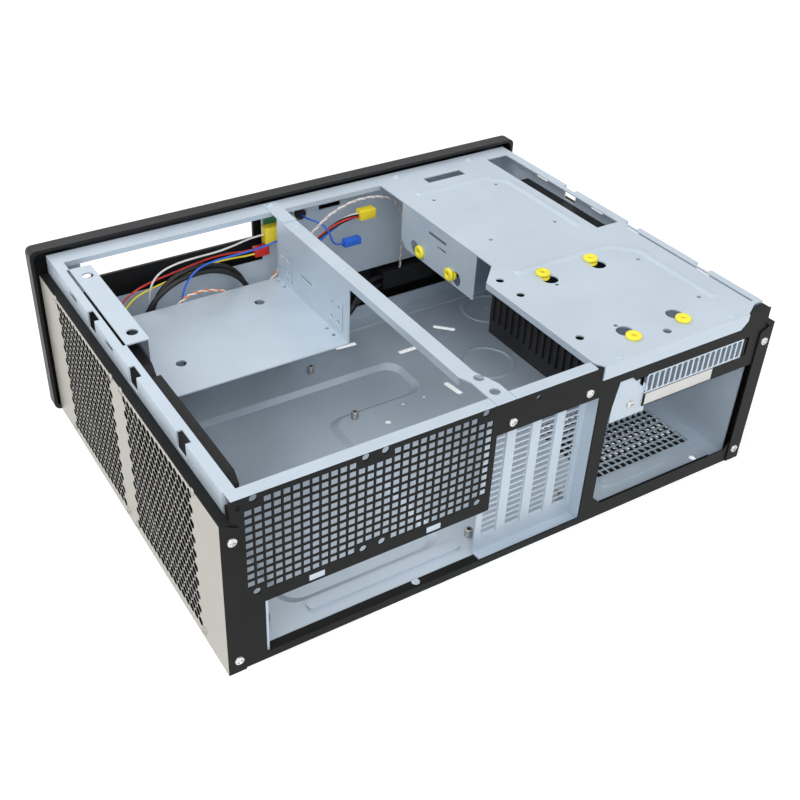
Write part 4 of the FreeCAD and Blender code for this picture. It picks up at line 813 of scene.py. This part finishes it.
def makeSidePanel(node, name, grille):
    piece = copyNode(node, name)
    side = outward[node]
    outer = outerFace(node)
    inner = outer - side * sheet
    front, rear, bottom, top = grille["fill"]
    fillBox(piece, (min(inner, outer), front, lift + bottom), (max(inner, outer), rear, lift + top))
    for middle in grille["middles"][node]:
        cells = hexCells(middle, lift + grille["height"], outer - side * sheet / 2, grille)
        dropCells(cells, cornerPlaces(middle, grille), grille["clear"])
        carve(piece, cells)
    finishPiece(piece, "side_paint", [node])
    piece.data.materials.append(materials["black_paint"])
    for face in piece.data.polygons:
        level = abs(face.center.x - outer * millimetre) < faceLimits["gap"]
        face.material_index = 0 if level and face.normal.x * side > faceLimits["turn"] else 1


makeSidePanel("right_panel", "rightPanel", sideGrille)
makeSidePanel("left_panel", "leftPanel", sideGrille)
print("side panels cut")

coverSlots = {"first": 18.5, "pitch": 5, "count": 18, "slot": (12.0, 4.0), "fill": (5.3, 19.4, 105.1),
              "thick": 0.8}


def makeCovers(cover):
    master = copyNode("slot_cover_1", "slotCover")
    low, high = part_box("slot_cover_1")
    middle = (low.x + high.x) / 2 / millimetre
    front = low.y / millimetre
    half, bottom, top = cover["fill"]
    fillBox(master, (middle - half, front, lift + bottom),
            (middle + half, front + cover["thick"], lift + top))
    wide, tall = cover["slot"]
    carve(master, gridCells("slots", (middle, front, lift + cover["first"]), (wide, cutDepth, tall),
                            cover["count"], (0, 0, cover["pitch"])))
    for index in range(1, 5):
        node = f"slot_cover_{index}"
        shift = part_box(node)[0].x - low.x
        piece = placed(master, f"slotCover{index}", Matrix.Translation((shift, 0, 0)))
        finishPiece(piece, "zinc_steel", [node])
    bpy.data.objects.remove(master)


makeCovers(coverSlots)
print("slot covers cut")

panGrille = {"first": (-196, 62), "pitch": 6, "hole": 4.9, "columns": 17, "rows": 12,
             "fillLow": (-193, 59), "fillHigh": (-101, 125)}
panHoles = [(-182, 147.7, 5.5), (-3.1, -3.8, 5), (-26.4, -18.3, 3), (-46.6, -18.1, 3), (-69, -142, 3)]
panHoleDepth = 12
lances = {"places": [(125.6, -118.8, 0), (85, -119, -4), (-29, -114.4, -4), (-73.4, -82.7, 0),
                     (-120.3, -96.7, -45), (-74.6, -16.9, 98)],
          "half": (10, 2.7, 2), "fillHalf": (5, 2), "soften": 1.2}


def makePan(grille):
    piece = copyNode("bottom_pan", "bottomPan")
    fillBox(piece, (*grille["fillLow"], lift), (*grille["fillHigh"], floorTop))
    long, wide = lances["fillHalf"]
    for x, y, turn in lances["places"]:
        fillBox(piece, (x - long, y - wide, lift), (x + long, y + wide, floorTop))
    for x, y, turn in lances["places"]:
        lance = boxPiece("lance", [-half for half in lances["half"]], lances["half"])
        softenEdges(lance, lances["soften"], bluntAngle)
        lance.data.transform(standing((x, y, floorTop), "z", turn))
        carve(piece, lance)
    hole, pitch = grille["hole"], grille["pitch"]
    carve(piece, gridCells("cells", (*grille["first"], lift + sheet / 2), (hole, hole, cellDepth),
                           grille["columns"], (pitch, 0, 0), grille["rows"], (0, pitch, 0)))
    drill(piece, "z", [((x, y, lift), wide) for x, y, wide in panHoles], panHoleDepth)
    finishPiece(piece, "zinc_steel", ["bottom_pan"])


makePan(panGrille)

dustFilter = {"low": (-202, 56), "high": (-95, 130.4), "thick": 1.0, "soften": 0.4, "first": (-196, 62),
              "pitch": 6, "hole": 1.5, "holeDepth": 6, "columns": 16, "rows": 6}


def makeDustFilter(sieve):
    # the black perforated plate under the power supply's grille
    plate = boxPiece("dustFilter", (*sieve["low"], lift - sieve["thick"]), (*sieve["high"], lift))
    softenEdges(plate, sieve["soften"], bluntAngle)
    pitch = sieve["pitch"]
    rise = pitch * math.sqrt(3)
    x, y = sieve["first"]
    for shift in (0, 0.5):
        place = (x + shift * pitch, y + shift * rise, lift)
        hole = roundPiece("hole", place, "z", sieve["hole"], sieve["holeDepth"], sides=10)
        carve(plate, spread(spread(hole, sieve["columns"], (pitch, 0, 0)), sieve["rows"], (0, rise, 0)))
    finishPiece(plate, "black_paint")


makeDustFilter(dustFilter)
print("bottom pan cut")

baySlits = {"face": 32.5, "slit": 1.1, "hole": 3.4, "margin": 2.6, "trayHole": 3,
            "trayHoles": [(35.2, -113.6), (35.2, -103.4), (35.8, -33.6), (35.8, -23.6)]}
bayTabs = [{"rear": -94.4, "front": -114, "top": 126.4, "low": 101.2, "holes": (-111.5, -101.5),
            "rows": (119.4, 107.6)},
           {"rear": -16, "front": -36.6, "top": 125, "low": 100.4, "holes": (-33, -23.2),
            "rows": (118.5, 106.1)}]


def makeCradle(bay):
    # the side wall's spring tabs are cut free on three sides, with four drive holes in each
    piece = copyNode("optical_cradle", "opticalCradle")
    face, margin, slit = bay["face"], bay["margin"], bay["slit"]
    for tab in bayTabs:
        front, rear, low, top = (tab[key] for key in ("front", "rear", "low", "top"))
        fillBox(piece, (face - sheet, front - margin, low - margin / 2), (face, rear + margin, top + margin))
        spans = [(front, rear, top - slit, top), (front, rear, low, low + slit),
                 (rear - slit, rear, low, top)]
        for start, end, bottom, upper in spans:
            cutBox(piece, (face - 2 * sheet, start, bottom), (face + sheet, end, upper))
        drill(piece, "x", [((face - sheet / 2, y, z), bay["hole"])
                           for y in tab["holes"] for z in tab["rows"]])
    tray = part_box("optical_cradle")[0].z / millimetre
    drill(piece, "z", [((x, y, tray), bay["trayHole"]) for x, y in bay["trayHoles"]])
    finishPiece(piece, "zinc_steel", ["optical_cradle"])


makeCradle(baySlits)

railGaps = {"right_wall": (199, 201.2, -119.5, -8), "left_wall": (-201.2, -199, 22, 150)}
for node, (low, high, front, rear) in railGaps.items():
    piece = copyNode(node, node.title().replace("_", ""))
    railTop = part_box(node)[1].z / millimetre
    cutBox(piece, (low, front, railTop - 2 * sheet), (high, rear, railTop + sheet))
    finishPiece(piece, "zinc_steel", [node])
apertureRound = 0.3
finishPiece(softenEdges(copyNode("io_frame", "ioFrame"), apertureRound), "zinc_steel", ["io_frame"])
print("bay and aperture frame cut")

panRings = {"places": [(-174, -104.5), (-121.3, -33.9)], "steps": 64,
            "profile": [(20.2, -0.1), (20.6, 0.35), (21.6, 0.9), (22.7, 1.05), (23.8, 0.9), (24.8, 0.35),
                        (25.2, -0.1)]}
rings = setTurned("panRings", panRings, [standing((x, y, floorTop)) for x, y in panRings["places"]])
finishPiece(rings, "zinc_steel")


# fixings

screwHead = {"outline": [(1, 0.35), (0.93, 0.66), (0.72, 0.9), (0.4, 1), (0, 1)], "sunk": -0.3, "steps": 28,
             "bar": (0.16, 0.6), "recess": 0.4}


def makeScrew(radius, height):
    # pan head with a cross recess
    profile = [(0, screwHead["sunk"]), (radius, screwHead["sunk"])]
    profile += [(across * radius, up * height) for across, up in screwHead["outline"]]
    head = turnedPiece("screw", profile, screwHead["steps"])
    wide, reach = (share * radius for share in screwHead["bar"])
    for a, b in ((wide, reach), (reach, wide)):
        cutBox(head, (-a, -b, screwHead["recess"] * height), (a, b, 2 * height))
    return smooth(head)


rearScrews = {"size": (3.1, 1.7), "spin": (17, 31), "onPanel": [(14.8, 118), (-46.7, 118)],
              "onFlange": [(206.9, 107.4), (206.9, 10.6), (-207.2, 107.6), (-207.2, 10.6)],
              "onBracket": [(-87, 94)]}
screwFaces = {"onPanel": "rear_panel", "onFlange": "right_panel", "onBracket": "psu_bracket"}
screwPlaces = [(x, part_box(node)[1].y / millimetre, lift + z)
               for key, node in screwFaces.items() for x, z in rearScrews[key]]
firstSpin, nextSpin = rearScrews["spin"]
screws = setOut(makeScrew(*rearScrews["size"]), "rearScrews",
                [standing(place, "y", firstSpin + nextSpin * index)
                 for index, place in enumerate(screwPlaces)])
finishPiece(screws, "zinc_steel", material=screwSteel)

fanScrews = {"size": (2.6, 1.1), "spin": 23}
fanPlaces = []
for node, axis in (("right_panel", "x"), ("left_panel", "-x")):
    for middle in sideGrille["middles"][node]:
        fanPlaces += [((outerFace(node), *place[1:]), axis) for place in cornerPlaces(middle, sideGrille)]
fanHeads = setOut(makeScrew(*fanScrews["size"]), "fanScrews",
                  [standing(place, axis, fanScrews["spin"] * index)
                   for index, (place, axis) in enumerate(fanPlaces)])
finishPiece(fanHeads, "side_paint")

rivets = {"profile": [(0, -0.2), (3.0, -0.2), (2.9, 0.25), (2.3, 0.6), (1.4, 0.75), (1.05, 0.62), (0.9, 0.3),
                      (0, 0.25)], "steps": 24,
          "onTop": [(-70.9, 157.8), (-171.5, 157.3), (-90.1, -139.5), (-163.9, -138.3), (24.7, -99.5),
                    (25.9, -26.9)],
          "onTongue": [(26.7, -140.2)], "onLip": [(74.1, 153.6), (-22, 153.6)], "onFloor": [(-174, -104.5)]}
beadRise = 1.2
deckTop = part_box("drive_cage")[1].z / millimetre - beadRise
rivetHeights = {"onTop": deckTop, "onTongue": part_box("optical_cradle")[1].z / millimetre,
                "onLip": floorTop + sheet, "onFloor": floorTop}
heads = setTurned("rivets", rivets,
                  [standing((x, y, z)) for key, z in rivetHeights.items() for x, y in rivets[key]])
finishPiece(heads, "zinc_steel")

grommets = {"profile": [(1.5, -3.5), (4.6, -3.5), (5.4, -2.9), (5.4, -1.6), (4.9, -1.0), (3.3, -1.0),
                        (3.3, 0), (4.9, 0), (5.4, 0.5), (5.4, 1.7), (5.0, 2.2), (4.2, 2.45), (2.8, 2.55),
                        (2.0, 2.2), (1.5, 1.5)], "steps": 40,
            "onTop": [(x, y) for x in (-95.275, -139.725) for y in (49.375, 144.625)],
            "onWall": [(-70, -69, 104), (-70, -28, 104)]}
grommetPlaces = [standing((x, y, deckTop)) for x, y in grommets["onTop"]]
grommetPlaces += [standing((x, y, lift + z), "x") for x, y, z in grommets["onWall"]]
finishPiece(setTurned("cageGrommets", grommets, grommetPlaces), "yellow_rubber", ["cage_grommets"])

standoffs = {"flat": 5, "tall": 6.5, "bore": 1.5, "boreDepth": 9, "soften": 0.25,
             "columns": (175, 17.52, -61.22), "rows": (134, -20.94, -93.33),
             "bare": [(-61.22, -20.94), (-61.22, -93.33)]}


def makeStandoff(post):
    tall = post["tall"]
    piece = roundPiece("standoff", (0, 0, tall / 2), "z", post["flat"] / math.sqrt(3), tall, sides=6)
    softenEdges(piece, post["soften"], bluntAngle)
    carve(piece, roundPiece("bore", (0, 0, tall), "z", post["bore"], post["boreDepth"], sides=20))
    return piece


posts = setOut(makeStandoff(standoffs), "boardStandoffs",
               [standing((x, y, floorTop)) for x in standoffs["columns"] for y in standoffs["rows"]
                if (x, y) not in standoffs["bare"]])
finishPiece(posts, "nickel", ["standoffs"])

feet = {"profile": [(0, 12), (0, 5), (2.7, 5), (2.7, 0.8), (3.2, 0.1), (6.6, 0), (7.4, 0.6), (8.4, 11.2),
                    (8.2, 12)], "steps": 48,
        "columns": (174, -174), "rows": (-104.5, 139), "head": 5, "screw": (2.2, 1.4), "spin": 19}
footPlaces = [(x, y) for x in feet["columns"] for y in feet["rows"]]
rubberFeet = setTurned("rubberFeet", feet, [standing((x, y, 0)) for x, y in footPlaces])
finishPiece(rubberFeet, "foot_rubber", ["feet"])
footScrews = setOut(makeScrew(*feet["screw"]), "footScrews",
                    [standing((x, y, feet["head"]), "-z", feet["spin"] * x) for x, y in footPlaces])
finishPiece(footScrews, "zinc_steel", material=screwSteel)
print("fixings placed")


# front controls

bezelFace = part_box("front_bezel")[0].y / millimetre
controlHeight = lift + 121.4
controlSteps = 48
caps = {
    "power_button": {"x": -1.2, "profile": [(0, 0.75), (3, 0.5), (5, 0.12), (5.6, 0), (6.2, 0.25), (6.5, 0.8),
                                            (6.5, 9.3), (0, 9.3)]},
    "reset_button": {"x": -24, "profile": [(0, 0.3), (1.5, 0.15), (2.0, 0), (2.35, 0.15), (2.5, 0.5),
                                           (2.5, 5.5), (0, 5.5)]},
}
for node, cap in caps.items():
    piece = turnedPiece(node + "Cap", cap["profile"], controlSteps)
    piece.data.transform(standing((cap["x"], bezelFace, controlHeight), "y"))
    finishPiece(piece, "button_plastic", [node], node + "_body")

switchParts = {"x": -1.2, "body": [(0, 0), (4.2, 0), (4.2, 9.9), (3.8, 10.4), (0, 10.4)],
               "nut": [(4.3, 0), (6.2, 0), (6.5, 0.3), (6.5, 1.6), (6.1, 2.0), (4.7, 2.0), (4.3, 1.7)]}
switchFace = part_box("power_switch")[0].y / millimetre
switchBody = turnedPiece("switchBody", switchParts["body"])
switchBody.data.transform(standing((switchParts["x"], switchFace, controlHeight), "y"))
finishPiece(switchBody, "plug_plastic", ["power_switch"])
ringNut = turnedPiece("ringNut", switchParts["nut"], controlSteps)
ringNut.data.transform(standing((switchParts["x"], frontWall / millimetre, controlHeight), "y"))
finishPiece(ringNut, "zinc_steel", ["power_switch"], material=screwSteel)

ports = {"height": 50, "usb": (-92, -108), "shell": (12.7, 5.3), "wall": 0.35, "tongue": (11, 1.8),
         "rise": 1.2, "tongueRound": 0.2, "setBack": 1, "depth": (-161.6, -150.3), "jacks": (-121, -129),
         "jackProfile": [(1.75, 0), (2.7, 0), (3.1, 0.4), (3.1, 9.6), (1.75, 9.6)]}


def portBox(name, x, z, size, front, back):
    wide, tall = size
    return boxPiece(name, (x - wide / 2, front, z - tall / 2), (x + wide / 2, back, z + tall / 2))


def makePorts(port):
    front, back = port["depth"]
    height, setBack = port["height"], port["setBack"]
    shells, tongues = [], []
    for x in port["usb"]:
        shell = portBox("shell", x, height, port["shell"], front, back)
        inside = [span - 2 * port["wall"] for span in port["shell"]]
        shells.append(carve(shell, portBox("hollow", x, height, inside, front - setBack, back + setBack)))
        tongue = portBox("tongue", x, height + port["rise"], port["tongue"], front + setBack, back)
        tongues.append(softenEdges(tongue, port["tongueRound"]))
    jacks = setOut(turnedPiece("jack", port["jackProfile"]), "audioJacks",
                   [standing((x, front, height), "y") for x in port["jacks"]])
    finishPiece(jacks, "nickel")
    finishPiece(joinAll(shells, "usbShells"), "nickel")
    finishPiece(joinAll(tongues, "usbTongues"), "plug_plastic")


makePorts(ports)

label = {"area": ((-161, 90), (-99, 99)), "thick": 0.15, "soften": 0.06}
paper = boxPiece("blankLabel", *rearCorners(label["area"], 0, label["thick"]))
finishPiece(softenEdges(paper, label["soften"]), "plug_plastic", material=labelPaper)
print("front controls made")


# fan rotors with swept, cambered blades

rotor = {"blades": 7, "rootRadius": 20.4, "tipRadius": 54.5, "rootHalf": 8.0, "tipHalf": 14.5, "sweep": 13,
         "sweepPower": 1.5, "slope": 0.36, "camber": 1.6, "thick": 1.5, "grid": (10, 8), "crease": 50}
hubShape = {"radius": 21, "round": 2, "chamfer": 0.6, "steps": 56}
rotorSides = {"1": 1, "2": 1, "3": -1}


def makeBlade(side):
    columns, rows = rotor["grid"]
    blade = addPiece("blade", bpy.ops.mesh.primitive_grid_add, x_subdivisions=columns, y_subdivisions=rows,
                     size=1)
    for vertex in blade.data.vertices:
        along, across = vertex.co.x + 0.5, vertex.co.y * 2
        radius = rotor["rootRadius"] + along * (rotor["tipRadius"] - rotor["rootRadius"])
        half = rotor["rootHalf"] + along * (rotor["tipHalf"] - rotor["rootHalf"])
        turn = math.radians(rotor["sweep"]) * along ** rotor["sweepPower"] + across * half / radius
        height = side * (across * half * rotor["slope"] + rotor["camber"] * (1 - across ** 2))
        vertex.co = mm(height, radius * math.sin(turn), radius * math.cos(turn))
    modify(blade, "SOLIDIFY", thickness=rotor["thick"] * millimetre, offset=0)
    return smooth(blade, rotor["crease"])


def makeHub(deep):
    radius, edge, chamfer = hubShape["radius"], hubShape["round"], hubShape["chamfer"]
    profile = [(0, 0), (radius - edge, 0), (radius - chamfer, chamfer), (radius, edge), (radius, deep),
               (0, deep)]
    return turnedPiece("hub", profile, hubShape["steps"])


for name, side in rotorSides.items():
    frameLow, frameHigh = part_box(f"fan_frame_{name}")
    low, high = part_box(f"fan_rotor_{name}")
    centre = (frameLow + frameHigh) / 2
    hub = makeHub((high.x - low.x) / millimetre)
    openSide = low.x if side == 1 else high.x
    hub.data.transform(standing((openSide / millimetre, centre.y / millimetre, centre.z / millimetre),
                                "x" if side == 1 else "-x"))
    middle = Matrix.Translation(((low.x + high.x) / 2, centre.y, centre.z))
    turns = [2 * math.pi * index / rotor["blades"] for index in range(rotor["blades"])]
    blades = setOut(makeBlade(side), "blades", [middle @ Matrix.Rotation(turn, 4, "X") for turn in turns])
    spinner = joinAll([hub, blades], f"fanRotor{name}")
    finishPiece(spinner, "fan_plastic", [f"fan_rotor_{name}"], f"fan_rotor_{name}_body")
print("rotors made")
